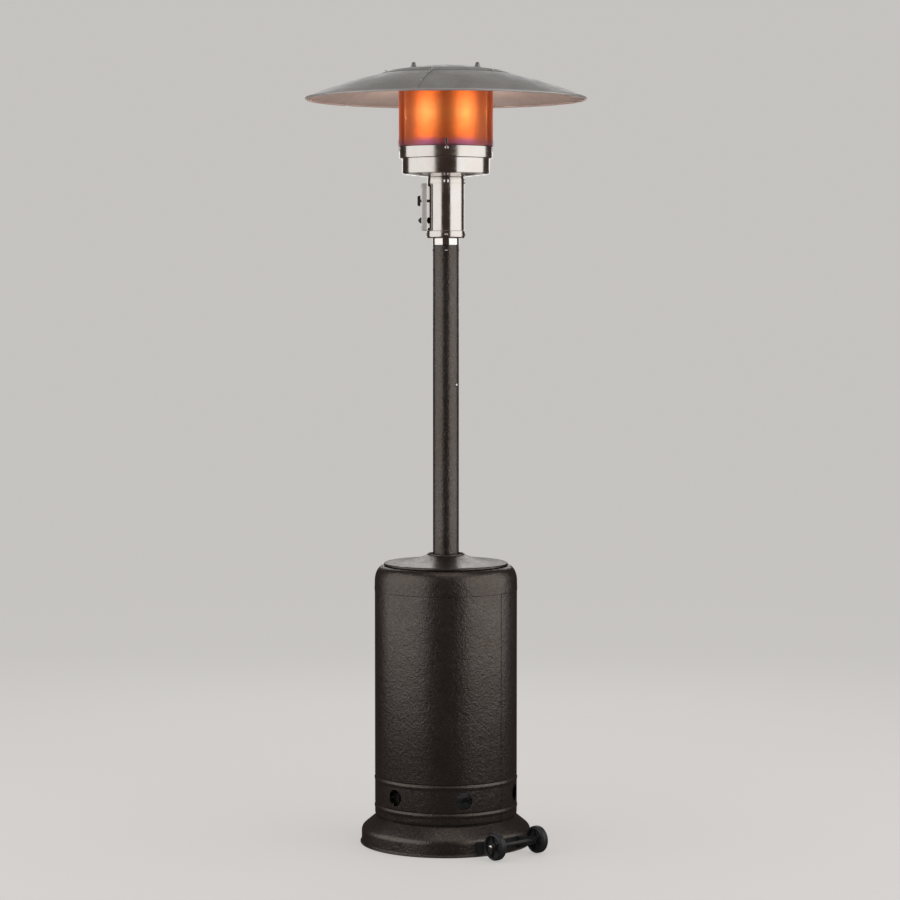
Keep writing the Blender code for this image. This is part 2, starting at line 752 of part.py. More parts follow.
def build_gas_cylinder():
    floor = tank_base()
    top = floor + TANK_HEIGHT
    wall = TANK_WALL
    shoulder_top = top - TANK_COLLAR_RISE
    foot = TANK_FOOT_RADIUS
    collar = TANK_COLLAR_RADIUS
    head = TANK_DOME

    def dome(radius, sheet):
        """Height above the cylinder's straight part, at a radius of the domed end."""
        share = min(1.0, radius / (TANK_RADIUS - sheet))
        return (head - sheet) * (1 - share * share) ** 0.5

    low = floor + TANK_LIFT + head
    high = shoulder_top - head + 12
    inner_radii = [TANK_RADIUS - wall, TANK_RADIUS - 20, 85.0]
    inside = [(0.0, low - dome(0, wall))]
    inside += [(r, low - dome(r, wall)) for r in reversed(inner_radii)]
    inside += [(r, high + dome(r, wall)) for r in inner_radii]
    inside += [(TANK_NECK_BORE, high + dome(TANK_NECK_BORE, wall))]
    neck_top = high + head + TANK_NECK_RISE
    outside = [(TANK_NECK_BORE, neck_top), (TANK_NECK_RADIUS, neck_top),
               (TANK_NECK_RADIUS, high + dome(TANK_NECK_RADIUS, 0)),
               (collar - wall, high + dome(collar - wall, 0)),
               (collar - wall, top - 1), (collar, top), (collar + 2, top - 3),
               (collar, top - 8), (collar, high + dome(collar, 0)),
               (TANK_RADIUS - 19, high + dome(TANK_RADIUS - 19, 0)),
               (TANK_RADIUS, high), (TANK_RADIUS, low),
               (TANK_RADIUS - 19, low - dome(TANK_RADIUS - 19, 0)),
               (foot, low - dome(foot, 0)), (foot, floor), (foot - wall, floor),
               (foot - wall, low - dome(foot - wall, 0)),
               (0.0, low - dome(0, 0))]
    tank = turned("gas_cylinder", inside + outside, GREY_PAINT, TANK_SEGMENTS, ring=False)
    # The collar is open at the valve's outlet, and has a hand slot on each side.
    floor_of_cut = high + dome(collar - wall, 0) + 4
    opening = plate("collar_opening",
                    arc_outline(collar - 20, collar + 20, OUTLET_AZIMUTH - COLLAR_OPENING_HALF,
                                OUTLET_AZIMUTH + COLLAR_OPENING_HALF, 8),
                    floor_of_cut, top + 10, STEEL)
    boolean(tank, opening, "DIFFERENCE")
    for index, turn in enumerate(HAND_SLOT_TURNS):
        middle = OUTLET_AZIMUTH + turn
        slot = plate("hand_slot_%d" % (index + 1),
                     arc_outline(collar - 20, collar + 20, middle - HAND_SLOT_HALF,
                                 middle + HAND_SLOT_HALF, 6),
                     top - HAND_SLOT_LOW, top - HAND_SLOT_HIGH, STEEL)
        boolean(tank, slot, "DIFFERENCE")
    return neck_top


def build_cylinder_valve(neck_top):
    """Brass valve screwed into the cylinder's neck, with its outlet to one side."""
    bore = TANK_NECK_BORE - FIT
    outlet = neck_top + OUTLET_RISE
    body_top = neck_top + VALVE_HEIGHT
    radius = VALVE_RADIUS
    stub = VALVE_STUB_RADIUS
    stub_top = body_top + HANDWHEEL_HEIGHT + 2
    profile = [(0.0, stub_top), (stub, stub_top), (stub, body_top + 2),
               (9.0, body_top), (12.0, body_top - 6), (radius, body_top - 12),
               (radius, neck_top + FIT), (bore, neck_top + FIT),
               (bore, neck_top - VALVE_THREAD), (0.0, neck_top - VALVE_THREAD)]
    valve = turned("cylinder_valve", profile, BRASS, ring=False)
    arm = cylinder("valve_outlet", OUTLET_RADIUS, (0, 0, outlet),
                   around(OUTLET_AZIMUTH, OUTLET_REACH, outlet), BRASS)
    boolean(valve, arm, "UNION")
    return outlet, body_top


def build_handwheel(body_top):
    low = body_top + 2 + FIT
    rim = HANDWHEEL_RADIUS
    high = low + HANDWHEEL_HEIGHT
    bore = VALVE_STUB_RADIUS + FIT
    profile = [(bore, high - 4), (rim - 8, high - 4), (rim - 5, high),
               (rim - 1.5, high - 1), (rim, low + 1), (bore, low)]
    wheel = turned("cylinder_handwheel", profile, BLACK_PLASTIC, 20)
    for index in range(HANDWHEEL_NOTCHES):
        azimuth = 360.0 / HANDWHEEL_NOTCHES * index
        notch = cylinder("handwheel_notch_%d" % (index + 1), 5.0,
                         around(azimuth, rim + 2.5, low - 5),
                         around(azimuth, rim + 2.5, high + 5), STEEL, 8)
        boolean(wheel, notch, "DIFFERENCE")


def build_regulator(outlet):
    """Coupling nut on the valve's outlet, and the round regulator behind it."""
    along = around(OUTLET_AZIMUTH, 1.0)
    seat = around(OUTLET_AZIMUTH, NUT_REACH, outlet)
    wall, length = COUPLING_RADIUS, COUPLING_LENGTH
    bore, mouth = REGULATOR_SPIGOT + FIT, OUTLET_RADIUS + FIT
    step = OUTLET_REACH - NUT_REACH + 2
    nut = [(wall - 2, length), (wall, length - 3), (wall, 4.0), (wall - 2, 0.0),
           (mouth, 0.0), (mouth, step), (bore, step), (bore, length)]
    turned("coupling_nut", nut, BLACK_PLASTIC, 18, aimed(seat, along))
    start = around(OUTLET_AZIMUTH, OUTLET_REACH + 2 * FIT, outlet)
    radius = REGULATOR_RADIUS
    spigot = cylinder("regulator", REGULATOR_SPIGOT, start,
                      around(OUTLET_AZIMUTH, REGULATOR_REACH, outlet), CAST_ZINC, 14)
    bell = [(0.0, 17.0), (radius - 12, 16.0), (radius - 4, 3.0), (radius, 3.0),
            (radius, -3.0), (radius - 12, -16.0), (0.0, -17.0)]
    middle = around(OUTLET_AZIMUTH, REGULATOR_REACH + radius * 0.55, outlet)
    disc = turned("regulator_bell", bell, CAST_ZINC, 20, aimed(middle, (0, 0, 1)), ring=False)
    boolean(spigot, disc, "UNION")
    barb_at = middle + Vector((0, 0, 12))
    barb_end = barb_at + Vector((0, 0, BARB_LENGTH))
    barb = cylinder("regulator_barb", HOSE_RADIUS - 1.5, barb_at, barb_end, BRASS, 12)
    boolean(spigot, barb, "UNION")
    return barb_end


def build_hose(start, end):
    """Gas hose from the regulator into the post's open lower end and up to the valve."""
    low = POST_BOTTOM
    route = [
        start + Vector((0, 0, FIT)),
        start + Vector((0, 0, 26)),
        start + Vector((8, 16, 52)),
        Vector((24, -40, low - 46)),
        Vector((6, -10, low - 6)),
        Vector((0, 0, low + 50)),
        Vector((0, 0, low + POST_LENGTH * 0.30)),
        Vector((3, 2, low + POST_LENGTH * 0.56)),
        Vector((0, 0, low + POST_LENGTH * 0.82)),
        Vector((0, 0, POST_TOP + 6)),
        end - Vector((0, 0, FIT)),
    ]
    wire("gas_hose", smooth_route(route, HOSE_RADIUS * 8), HOSE_RADIUS, RUBBER)


def build_belt():
    """Retaining belt round the gas cylinder, tied to the first leg."""
    middle = tank_base() + BELT_HEIGHT
    inner = TANK_RADIUS + FIT
    low, high = middle - BELT_WIDTH / 2, middle + BELT_WIDTH / 2
    belt = tube("tank_belt", inner + BELT_SHEET, inner, low, high, RUBBER, TANK_SEGMENTS)
    stop = leg_radius() - LEG_SHEET / 2 - FIT
    across, up = BELT_HOOK_HALF
    hook = block("belt_hook", (inner + BELT_SHEET / 2, -up, -across), (stop, up, across), STEEL,
                 Matrix.Translation((0, 0, middle * MM)) @ standing(LEG_AZIMUTHS[0]))
    boolean(belt, hook, "UNION")


# ==== control head =========================================================================

def head_floor():
    """Underside of the head's lower band."""
    return POST_TOP + SPIGOT_BAND


def head_low():
    """Lower edge of the control housing, above the band's rounded corner."""
    return head_floor() + BAND_ROUND + HEAD_SHEET + 2 * FIT


def spigot_bore():
    return POST_RADIUS - POST_WALL - FIT - SPIGOT_WALL


def head_top():
    return head_floor() + BAND_HEIGHT + HEAD_HEIGHT


def collar_top():
    return head_top() + COLLAR_HEIGHT


def build_spigot():
    """Bright ring that plugs into the post and carries the head."""
    inside = POST_RADIUS - POST_WALL - FIT
    bore = spigot_bore()
    top = head_floor() - FIT
    ring = POST_RADIUS + SPIGOT_PROUD
    low = POST_TOP - SPIGOT_DEPTH
    profile = [(bore, top), (ring, top), (ring, POST_TOP + FIT), (inside, POST_TOP + FIT),
               (inside, low), (bore, low)]
    turned("head_spigot", profile, CHROME, HEAD_SEGMENTS)


def build_head_shells():
    sheet = HEAD_SHEET
    floor = head_floor()
    band = BAND_RADIUS
    band_top = floor + BAND_HEIGHT
    bore = spigot_bore()
    profile = [(band, band_top), (band, floor + BAND_ROUND), (band - BAND_ROUND, floor),
               (bore, floor), (bore, floor + sheet),
               (band - sheet - BAND_ROUND + 1, floor + sheet),
               (band - sheet, floor + BAND_ROUND + sheet / 2), (band - sheet, band_top)]
    turned("head_band", profile, STEEL, HEAD_SEGMENTS)

    shell = HEAD_RADIUS
    housing = tube("control_housing", shell, shell - sheet, head_low(), head_top(), STEEL,
                   HEAD_SEGMENTS)
    half = PANEL_WIDTH / 2 - WINDOW_MARGIN
    window = block("housing_window",
                   (-PANEL_FACE, -half, band_top + WINDOW_END),
                   (-PANEL_BACK / 2, half, head_top() - WINDOW_END), STEEL)
    boolean(housing, window, "DIFFERENCE")

    low = head_top() + FIT
    top = collar_top()
    hole = LEAD_RING - 2
    profile = [(hole, top), (shell, top), (shell, low), (shell - sheet, low),
               (shell - sheet, top - sheet), (hole, top - sheet)]
    turned("head_collar", profile, STEEL, HEAD_SEGMENTS)


def stem_height():
    return head_floor() + BAND_HEIGHT + KNOB_RISE


def button_height():
    return head_floor() + BAND_HEIGHT + BUTTON_RISE


def panel_extent():
    """Low and high ends of the panel, level with the control housing's bright part."""
    return head_floor() + BAND_HEIGHT + 1, head_top() - 1


def along_x(distance, height):
    """The matrix of a piece that looks out of the panel, towards -X."""
    return aimed((-distance, 0, height), (-1, 0, 0))


def build_panel():
    low, high = panel_extent()
    half = PANEL_WIDTH / 2
    sheet = PANEL_SHEET
    back = PANEL_BACK
    face = PANEL_FACE
    inset = sheet + FIT
    backplate = block("panel_backplate", (-back - sheet, -half + inset, low + inset),
                      (-back, half - inset, high - inset), STEEL)
    cover = block("control_panel", (-face, -half, low), (-back, half, high), STEEL)
    bevel = cover.modifiers.new("rounded", "BEVEL")
    bevel.width = PANEL_EDGE * MM
    bevel.segments = 2
    bevel.limit_method = "ANGLE"
    hollow = block("panel_hollow", (-face + sheet, -half + sheet, low + sheet),
                   (-back + PANEL_DEPTH, half - sheet, high - sheet), STEEL)
    boolean(cover, hollow, "DIFFERENCE")
    stem_hole = STEM_RADIUS + STEM_HOLE_CLEARANCE
    igniter_hole = BUTTON_STEM + STEM_HOLE_CLEARANCE
    for piece, at, holes in (
            (cover, face, ((stem_hole, stem_height()),
                           (BUTTON_RADIUS + BUTTON_CLEARANCE, button_height()))),
            (backplate, back, ((stem_hole, stem_height()), (igniter_hole, button_height())))):
        for index, (radius, height) in enumerate(holes):
            hole = cylinder("%s_hole_%d" % (piece.name, index + 1), radius,
                            (-at - 5, 0, height), (-at + 5, 0, height), STEEL, 20)
            boolean(piece, hole, "DIFFERENCE")


def build_control_valve():
    """Control valve with its stem and knob. Gives the point where the gas comes in."""
    height = stem_height()
    stem = STEM_RADIUS
    half = VALVE_HALF
    valve = block("control_valve", (-PANEL_BACK + 8, -half, height - 20), (-9, half, height + 18),
                  CAST_ZINC)
    outlet = cylinder("valve_elbow", VALVE_ELBOW_RADIUS, (0, 0, height - 16),
                      (0, 0, height + VALVE_ELBOW_RISE), BRASS, 20)
    boolean(valve, outlet, "UNION")
    bridge = block("valve_bridge", (-12, -7, height - 10), (0, 7, height + 10), BRASS)
    boolean(valve, bridge, "UNION")
    entry = Vector((0, 0, height - VALVE_INLET_DROP))
    inlet = cylinder("valve_inlet", HOSE_RADIUS - 1.5, entry, (0, 0, height - 10), BRASS,
                     PIN_SEGMENTS)
    boolean(valve, inlet, "UNION")
    stem_back = PANEL_BACK - STEM_INSIDE
    bore = cylinder("valve_bore", stem + FIT, (-PANEL_BACK - 5, 0, height),
                    (6 - stem_back, 0, height), STEEL)
    boolean(valve, bore, "DIFFERENCE")

    knob_back = PANEL_FACE + KNOB_CLEARANCE
    length = KNOB_LENGTH
    roof = length - KNOB_WALL
    stem_length = knob_back + roof - stem_back
    turned("valve_stem", [(0.0, stem_length), (stem, stem_length), (stem, 0.0), (0.0, 0.0)],
           BRASS, matrix=along_x(stem_back, height), ring=False)
    rim = KNOB_RADIUS
    knob = turned("control_knob",
                  [(0.0, length), (rim - 5, length), (rim - 2, length - 2),
                   (rim - 0.6, 1.0), (rim - 0.6, 0.0), (stem + FIT, 0.0),
                   (stem + FIT, roof + FIT), (0.0, roof + FIT)],
                  BLACK_PLASTIC, 22, along_x(knob_back, height), ring=False)
    pointer = block("knob_pointer", (-1.5, 4, length - 4), (1.5, rim, length - 0.6),
                    BLACK_PLASTIC, along_x(knob_back, height))
    boolean(knob, pointer, "UNION")
    return entry


def build_igniter():
    height = button_height()
    stem = BUTTON_STEM
    back = PANEL_BACK - IGNITER_BACK
    turned("igniter_body",
           [(0.0, IGNITER_BOTTOM), (stem + FIT, IGNITER_BOTTOM), (stem + FIT, IGNITER_LENGTH),
            (IGNITER_RADIUS, IGNITER_LENGTH), (IGNITER_RADIUS, 0.0), (0.0, 0.0)],
           BLACK_PLASTIC, matrix=along_x(back, height), ring=False)
    start = back + IGNITER_BOTTOM + 8
    face = PANEL_FACE - start
    tip = face + BUTTON_REACH
    radius = BUTTON_RADIUS
    turned("igniter_button",
           [(0.0, tip), (radius * 0.45, tip - 2), (radius * 0.85, face + 4), (radius, face),
            (radius, face - 6), (stem, face - 6), (stem, 0.0), (0.0, 0.0)],
           BLACK_PLASTIC, matrix=along_x(start, height), ring=False)


def build_tilt_switch():
    low = head_floor() + BAND_HEIGHT + TILT_SWITCH_RISE
    high = low + TILT_SWITCH_HEIGHT
    radius = TILT_SWITCH_RADIUS
    profile = [(0.0, high), (radius - 2.5, high), (radius, high - 4), (radius, low + 2),
               (radius - 1.5, low), (0.0, low)]
    turned("tilt_switch", profile, BLACK_PLASTIC, 20,
           Matrix.Translation(Vector((*TILT_SWITCH_AT, 0.0)) * MM), ring=False)


# ==== burner ================================================================================

def lower_ring_low():
    return collar_top() + 2 * FIT + DISH_RISE + 1


def lower_ring_high():
    return lower_ring_low() + LOWER_RING_HEIGHT


def build_burner_shells():
    sheet = RING_SHEET
    low = lower_ring_low()
    high = lower_ring_high()
    ring = LOWER_RING_RADIUS
    start = collar_top() + FIT
    edge = ring - DISH_INSET
    dish = [(LEAD_RING, start + sheet), (HEAD_RADIUS, start + sheet), (edge, low + 0.5),
            (edge, low - 1.0), (HEAD_RADIUS, start), (LEAD_RING, start)]
    dish_body = turned("burner_dish", dish, STEEL, SEGMENTS)
    pitch = 360.0 / DISH_SLOTS
    for index in range(DISH_SLOTS):
        middle = pitch * (index + 0.5)
        slot = plate("dish_slot_%d" % (index + 1),
                     arc_outline(HEAD_RADIUS + DISH_SLOT_MARGIN[0], edge - DISH_SLOT_MARGIN[1],
                                 middle - DISH_SLOT_HALF, middle + DISH_SLOT_HALF, 2),
                     start - 5, low + 10, STEEL)
        boolean(dish_body, slot, "DIFFERENCE")

    lower = [(ring, high), (ring, low + 3), (ring - RING_ROUND, low), (edge + FIT, low),
             (edge + FIT, low + sheet), (ring - sheet, low + sheet + 1), (ring - sheet, high)]
    turned("burner_ring_lower", lower, STEEL, SEGMENTS)

    ring = UPPER_RING_RADIUS
    base = high + FIT
    top = base + UPPER_RING_HEIGHT
    inner = LOWER_RING_RADIUS - RING_LEDGE
    upper = [(ring, top), (ring, base + RING_ROUND), (ring - RING_ROUND, base), (inner, base),
             (inner, base + sheet), (ring - sheet, base + sheet), (ring - sheet, top)]
    turned("burner_ring_upper", upper, STEEL, SEGMENTS)
    return base + sheet, top


def build_burner(seat):
    """Tray, mixing tube, drum burner and the pilot group standing on the tray."""
    low = seat + FIT
    sheet = RING_SHEET
    tube_r = MIXER_RADIUS
    tray = tube("burner_tray", UPPER_RING_RADIUS - 4, tube_r + 8, low, low + sheet,
                STEEL, HEAD_SEGMENTS)
    for index, step in enumerate((-PILOT_STEP, 0.0, PILOT_STEP)):
        reach = PILOT_REACH + step
        hole = cylinder("tray_hole_%d" % (index + 1), PILOT_RADIUS + 0.2, (reach, 0, low - 5),
                        (reach, 0, low + 5), STEEL, PIN_SEGMENTS)
        boolean(tray, hole, "DIFFERENCE")

    jet_low = stem_height() + VALVE_ELBOW_RISE + FIT
    jet_top = jet_low + JET_HEIGHT
    mixer_low = jet_top + MIXER_GAP
    start = low + sheet + FIT
    rise = low + MIXER_RISE
    flange_top = start + FIT + 2
    profile = [(tube_r - 2, rise), (tube_r, rise), (tube_r, flange_top),
               (tube_r + MIXER_FLANGE, flange_top), (tube_r + MIXER_FLANGE, start),
               (tube_r, start), (tube_r, mixer_low + 6), (tube_r - 4, mixer_low),
               (tube_r - 6, mixer_low), (tube_r - 2, mixer_low + 8)]
    turned("mixer_tube", profile, STEEL)
    turned("gas_jet", [(0.0, jet_top), (3.0, jet_top), (JET_RADIUS, jet_top - 6),
                       (JET_RADIUS, jet_low), (0.0, jet_low)], BRASS, ring=False)

    radius = BURNER_RADIUS
    top = start + BURNER_HEIGHT
    drum = [(0.0, top), (radius - 4, top), (radius, top - 4), (radius, start),
            (radius - sheet, start), (radius - sheet, top - 5), (radius - 5, top - sheet),
            (0.0, top - sheet)]
    turned("main_burner", drum, STEEL, HEAD_SEGMENTS, ring=False)

    size = PILOT_RADIUS
    for name, reach, rise, look in (
            ("pilot_burner", PILOT_REACH - PILOT_STEP, 26.0, BRASS),
            ("spark_electrode", PILOT_REACH + PILOT_STEP, 34.0, CERAMIC)):
        profile = [(0.0, start + rise), (size - 1.4, start + rise), (size, start + rise - 8),
                   (size, start), (size - 1.0, start), (size - 1.0, low - PILOT_TAIL),
                   (0.0, low - PILOT_TAIL)]
        turned(name, profile, look, PIN_SEGMENTS, Matrix.Translation((reach * MM, 0, 0)),
               ring=False)
    return low, start


def build_leads(tray, seat):
    """The thermocouple and the two leads, from the head up to the pilot group."""
    under = tray - 14
    plug = tray - PILOT_TAIL - FIT
    ledge = lower_ring_low() + 12
    hole = LEAD_RING - 7
    height = stem_height()
    side = VALVE_HALF + FIT
    igniter = button_height()
    back = IGNITER_BACK - PANEL_BACK
    middle, step = PILOT_REACH, PILOT_STEP
    wire("thermocouple", smooth_route([
        (middle, 0, seat + 36), (middle, 0, seat + 4), (middle, 0, under),
        (middle - 18, -4, ledge), (hole + 8, -6, ledge - 4), (hole, -6, ledge - 22),
        (hole - 1, -6, height + 10), (24, -20, height - 14), (-8, -30, height - 22),
        (-24, -27, height - 13), (-26, -side, height - 12)], LEAD_SPACING),
        LEAD_RADIUS, COPPER, 1)
    wire("pilot_tube", smooth_route([
        (middle - step, 0, plug), (middle - step, 0, under), (middle - 20, 3, under - 8),
        (middle - 34, 6, ledge), (hole + 4, 8, ledge - 6), (hole - 1, 8, ledge - 24),
        (hole - 1, 10, height + 12), (22, 24, height - 12), (-6, 30, height - 21),
        (-24, 27, height - 13), (-26, side, height - 12)], LEAD_SPACING),
        LEAD_RADIUS, BRASS, 1)
    wire("ignition_lead", smooth_route([
        (middle + step, 0, plug), (middle + step, 0, under), (middle + 8, -6, under - 8),
        (middle - step, -16, ledge), (hole + 4, -17, ledge - 6), (hole - 6, -17, ledge - 24),
        (hole - 7, -18, height + 8), (18, -14, height - 15),
        (8, -14, igniter + 22), (-8, -13, igniter + 8), (back + 8, 0, igniter),
        (back + FIT, 0, igniter)], LEAD_SPACING), LEAD_RADIUS, RUBBER, 1)


def build_emitter(ring_top):
    sheet = EMITTER_SHEET
    outer = EMITTER_RADIUS
    low = ring_top - EMITTER_OVERLAP
    high = low + EMITTER_HEIGHT
    tube("emitter_screen", outer, outer - sheet, low, high, GLOWING, SEGMENTS)
    edge = outer - sheet - FIT
    plate_low = high - TOP_PLATE_DEPTH
    profile = [(0.0, plate_low + sheet), (edge - sheet, plate_low + sheet),
               (edge - sheet, high - 2), (edge, high - 2), (edge, plate_low),
               (0.0, plate_low)]
    cover = turned("emitter_top_plate", profile, STEEL, SEGMENTS, ring=False)
    for index, azimuth in enumerate(stud_azimuths()):
        point = around(azimuth, STUD_RING, 0)
        hole = cylinder("top_plate_hole_%d" % (index + 1), STUD_RADIUS + FIT,
                        point + Vector((0, 0, plate_low - 5)),
                        point + Vector((0, 0, plate_low + 5)), STEEL, PIN_SEGMENTS)
        boolean(cover, hole, "DIFFERENCE")
    return plate_low


# ==== reflector =============================================================================

def stud_azimuths():
    return tuple(STUD_FIRST_AZIMUTH + 360.0 / STUD_COUNT * index for index in range(STUD_COUNT))


def reflector_height(radius):
    """Height of the reflector's outer face."""
    rim = POST_TOP + REFLECTOR_RIM_ABOVE_POST
    share = radius / REFLECTOR_RADIUS
    return rim + REFLECTOR_RISE * (1 - share ** REFLECTOR_CURVE)


def build_reflector_panels():
    steps = 5
    start = PANEL_INNER_RADIUS
    radii = [start + (REFLECTOR_RADIUS - 1 - start) * i / steps for i in range(steps + 1)]
    surface = [(radius, reflector_height(radius)) for radius in radii]
    surface.append((REFLECTOR_RADIUS, surface[-1][1] - 2.0))
    surface.append((REFLECTOR_RADIUS - 1, surface[-1][1] - REFLECTOR_HEM + 2.0))
    sweep = 360.0 / REFLECTOR_PANELS
    for index in range(REFLECTOR_PANELS):
        name = "reflector_panel_%d" % (index + 1)
        azimuth = SEAM_FIRST_AZIMUTH + sweep * index + SEAM_GAP / 2
        # The profile lies on local +X, which azimuth 90 points along.
        turn = Matrix.Rotation(radians(azimuth - 90.0), 4, "Z")
        panel = place(name, profile_mesh(name, surface, False), ALUMINIUM, turn)
        add_screw(panel, SEGMENTS // REFLECTOR_PANELS, sweep - SEAM_GAP)
        shell = panel.modifiers.new("sheet", "SOLIDIFY")
        shell.thickness = REFLECTOR_SHEET * MM
        shell.offset = -1.0
        shell.use_even_offset = True


def build_reflector_cap():
    lift = FIT + REFLECTOR_SHEET + 0.3
    radii = [(CAP_STEP_RADIUS - 2) * (1 - i / 4) for i in range(5)]
    dome = [(radius, reflector_height(radius) + lift + CAP_STEP) for radius in reversed(radii)]
    flange = [(radius, reflector_height(radius) + lift)
              for radius in (CAP_STEP_RADIUS + 1, CAP_RADIUS)]
    outside = dome + flange
    inside = [(radius, height - REFLECTOR_SHEET) for radius, height in reversed(outside)]
    cap = turned("reflector_cap", outside + inside, ALUMINIUM, SEGMENTS, ring=False)
    for index, azimuth in enumerate(stud_azimuths()):
        point = around(azimuth, STUD_RING, reflector_height(STUD_RING))
        hole = cylinder("cap_hole_%d" % (index + 1), STUD_RADIUS + FIT,
                        point - Vector((0, 0, 12)), point + Vector((0, 0, 16)), STEEL, PIN_SEGMENTS)
        boolean(cap, hole, "DIFFERENCE")
    return lift + CAP_STEP


def build_studs(top_plate, lift):
    """Spacer studs between the emitter's top plate and the cap, and their nuts."""
    cap_face = reflector_height(STUD_RING - NUT_RADIUS) + lift
    under = reflector_height(STUD_RING + SPACER_RADIUS) + lift - REFLECTOR_SHEET
    low = top_plate + EMITTER_SHEET + FIT
    for index, azimuth in enumerate(stud_azimuths()):
        where = Matrix.Translation(around(azimuth, STUD_RING) * MM)
        stud_top = cap_face + NUT_HEIGHT - NUT_ROOF
        turned("reflector_stud_%d" % (index + 1),
               [(0.0, stud_top), (STUD_RADIUS, stud_top), (STUD_RADIUS, under - FIT),
                (SPACER_RADIUS, under - FIT), (SPACER_RADIUS, low), (STUD_RADIUS, low),
                (STUD_RADIUS, top_plate - STUD_TAIL), (0.0, top_plate - STUD_TAIL)],
               STEEL, PIN_SEGMENTS, where, ring=False)
        seat = cap_face + FIT
        radius = NUT_RADIUS
        turned("cap_nut_%d" % (index + 1),
               [(0.0, seat + NUT_HEIGHT), (radius * 0.5, seat + NUT_HEIGHT - 1),
                (radius * 0.8, seat + NUT_HEIGHT - 4), (radius, seat + NUT_HEIGHT - 6),
                (radius, seat), (STUD_RADIUS + FIT, seat),
                (STUD_RADIUS + FIT, stud_top + FIT), (0.0, stud_top + FIT)],
               CHROME, PIN_SEGMENTS, where, ring=False)


# ==== assembly ==============================================================================

def clear_scene():
    for found in list(bpy.data.objects):
        bpy.data.objects.remove(found)


def build_heater():
    build_base()
    build_wheel_bracket()
    build_wheels()
    build_legs()
    build_post()
    build_housing()
    build_lid()
    neck_top = build_gas_cylinder()
    outlet, body_top = build_cylinder_valve(neck_top)
    build_handwheel(body_top)
    hose_start = build_regulator(outlet)
    build_belt()
    build_spigot()
    build_head_shells()
    build_panel()
    hose_end = build_control_valve()
    build_igniter()
    build_hose(hose_start, hose_end)
    build_tilt_switch()
    seat, ring_top = build_burner_shells()
    tray, pilot_seat = build_burner(seat)
    build_leads(tray, pilot_seat)
    top_plate = build_emitter(ring_top)
    build_reflector_panels()
    lift = build_reflector_cap()
    build_studs(top_plate, lift)


clear_scene()
build_heater()
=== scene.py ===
"""Looks of the patio heater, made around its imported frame."""
import json
from math import atan2, cos, degrees, pi, radians, sin

import bmesh
import bpy
from mathutils import Matrix, Vector


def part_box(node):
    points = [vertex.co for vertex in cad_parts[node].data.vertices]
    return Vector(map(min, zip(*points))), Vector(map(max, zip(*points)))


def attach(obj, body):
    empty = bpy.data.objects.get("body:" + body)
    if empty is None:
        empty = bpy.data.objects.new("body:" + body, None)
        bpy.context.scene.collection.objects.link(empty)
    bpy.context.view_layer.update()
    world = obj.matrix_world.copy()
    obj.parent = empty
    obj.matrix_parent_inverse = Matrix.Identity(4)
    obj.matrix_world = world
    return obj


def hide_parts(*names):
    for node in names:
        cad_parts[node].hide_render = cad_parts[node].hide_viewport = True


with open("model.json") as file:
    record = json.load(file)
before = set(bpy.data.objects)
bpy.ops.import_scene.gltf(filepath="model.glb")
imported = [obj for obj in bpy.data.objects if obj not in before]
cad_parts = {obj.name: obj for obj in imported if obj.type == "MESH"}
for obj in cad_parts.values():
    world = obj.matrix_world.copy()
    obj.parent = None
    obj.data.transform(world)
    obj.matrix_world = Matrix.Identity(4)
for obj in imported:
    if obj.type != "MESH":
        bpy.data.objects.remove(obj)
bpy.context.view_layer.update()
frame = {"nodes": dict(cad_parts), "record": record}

# All lengths are metres. An azimuth is in degrees from the front (-Y) towards +X.
ROOT = "stand"
COVER = "tank_cover"

# ---- sizes read from the frame ------------------------------------------------------


def outer_radius(node):
    low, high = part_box(node)
    return max(high.x, -low.x)


def low_of(node):
    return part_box(node)[0].z


def high_of(node):
    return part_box(node)[1].z


BASE_RIM = outer_radius("base_shell")
DECK = high_of("base_shell")
COVER_RADIUS = outer_radius("tank_housing") - 0.001
COVER_LOW, COVER_HIGH = low_of("tank_housing"), high_of("tank_housing")
LID_RADIUS = outer_radius("housing_lid")
LID_LOW, LID_HIGH = low_of("housing_lid"), high_of("housing_lid")
POST_RADIUS = outer_radius("post")
POST_LOW, POST_HIGH = low_of("post"), high_of("post")
EMITTER_RADIUS = outer_radius("emitter_screen")
EMITTER_LOW, EMITTER_HIGH = low_of("emitter_screen"), high_of("emitter_screen")
RIM_RADIUS = 0.4056
RIM_HEIGHT = POST_HIGH + 0.422
CAP_LIFT = 0.0020               # the cap's edge is about this far above the reflector
CAP_CROWN = 0.0022              # and its middle this much higher again
REFLECTOR_RISE = high_of("reflector_cap") - RIM_HEIGHT - CAP_LIFT - CAP_CROWN

# ---- sizes of details -----------------------------------------------------------------
SEAM_AZIMUTH = 50.0             # lap seam of the housing
SEAM_BLEND = 16.0               # degrees over which the lap blends away
SEAM_HEIGHT = 0.739             # ring seam under the housing's shoulder
SHOULDER_RISE = 0.044
SHOULDER_INSET = 0.026
GROOVE_HEIGHTS = (0.198, 0.117)
VENT_COUNT, VENT_FIRST = 6, 15.0
VENT_HEIGHT, VENT_RADIUS = 0.1535, 0.024
WHEEL_HALF_WIDTH, TREAD_RADIUS = 0.012, 0.039
SPOKE_COUNT = 5
SCREW_AZIMUTH = 1               # first of each ring of four screws
LEAF_COUNT, LEAF_FIRST = 3, -12.5
CAP_EDGE = 0.186
# number of painted reflection bands in the emitter's glow
PAINTED_BAND_COUNT = 6


# ==== materials =======================================================================

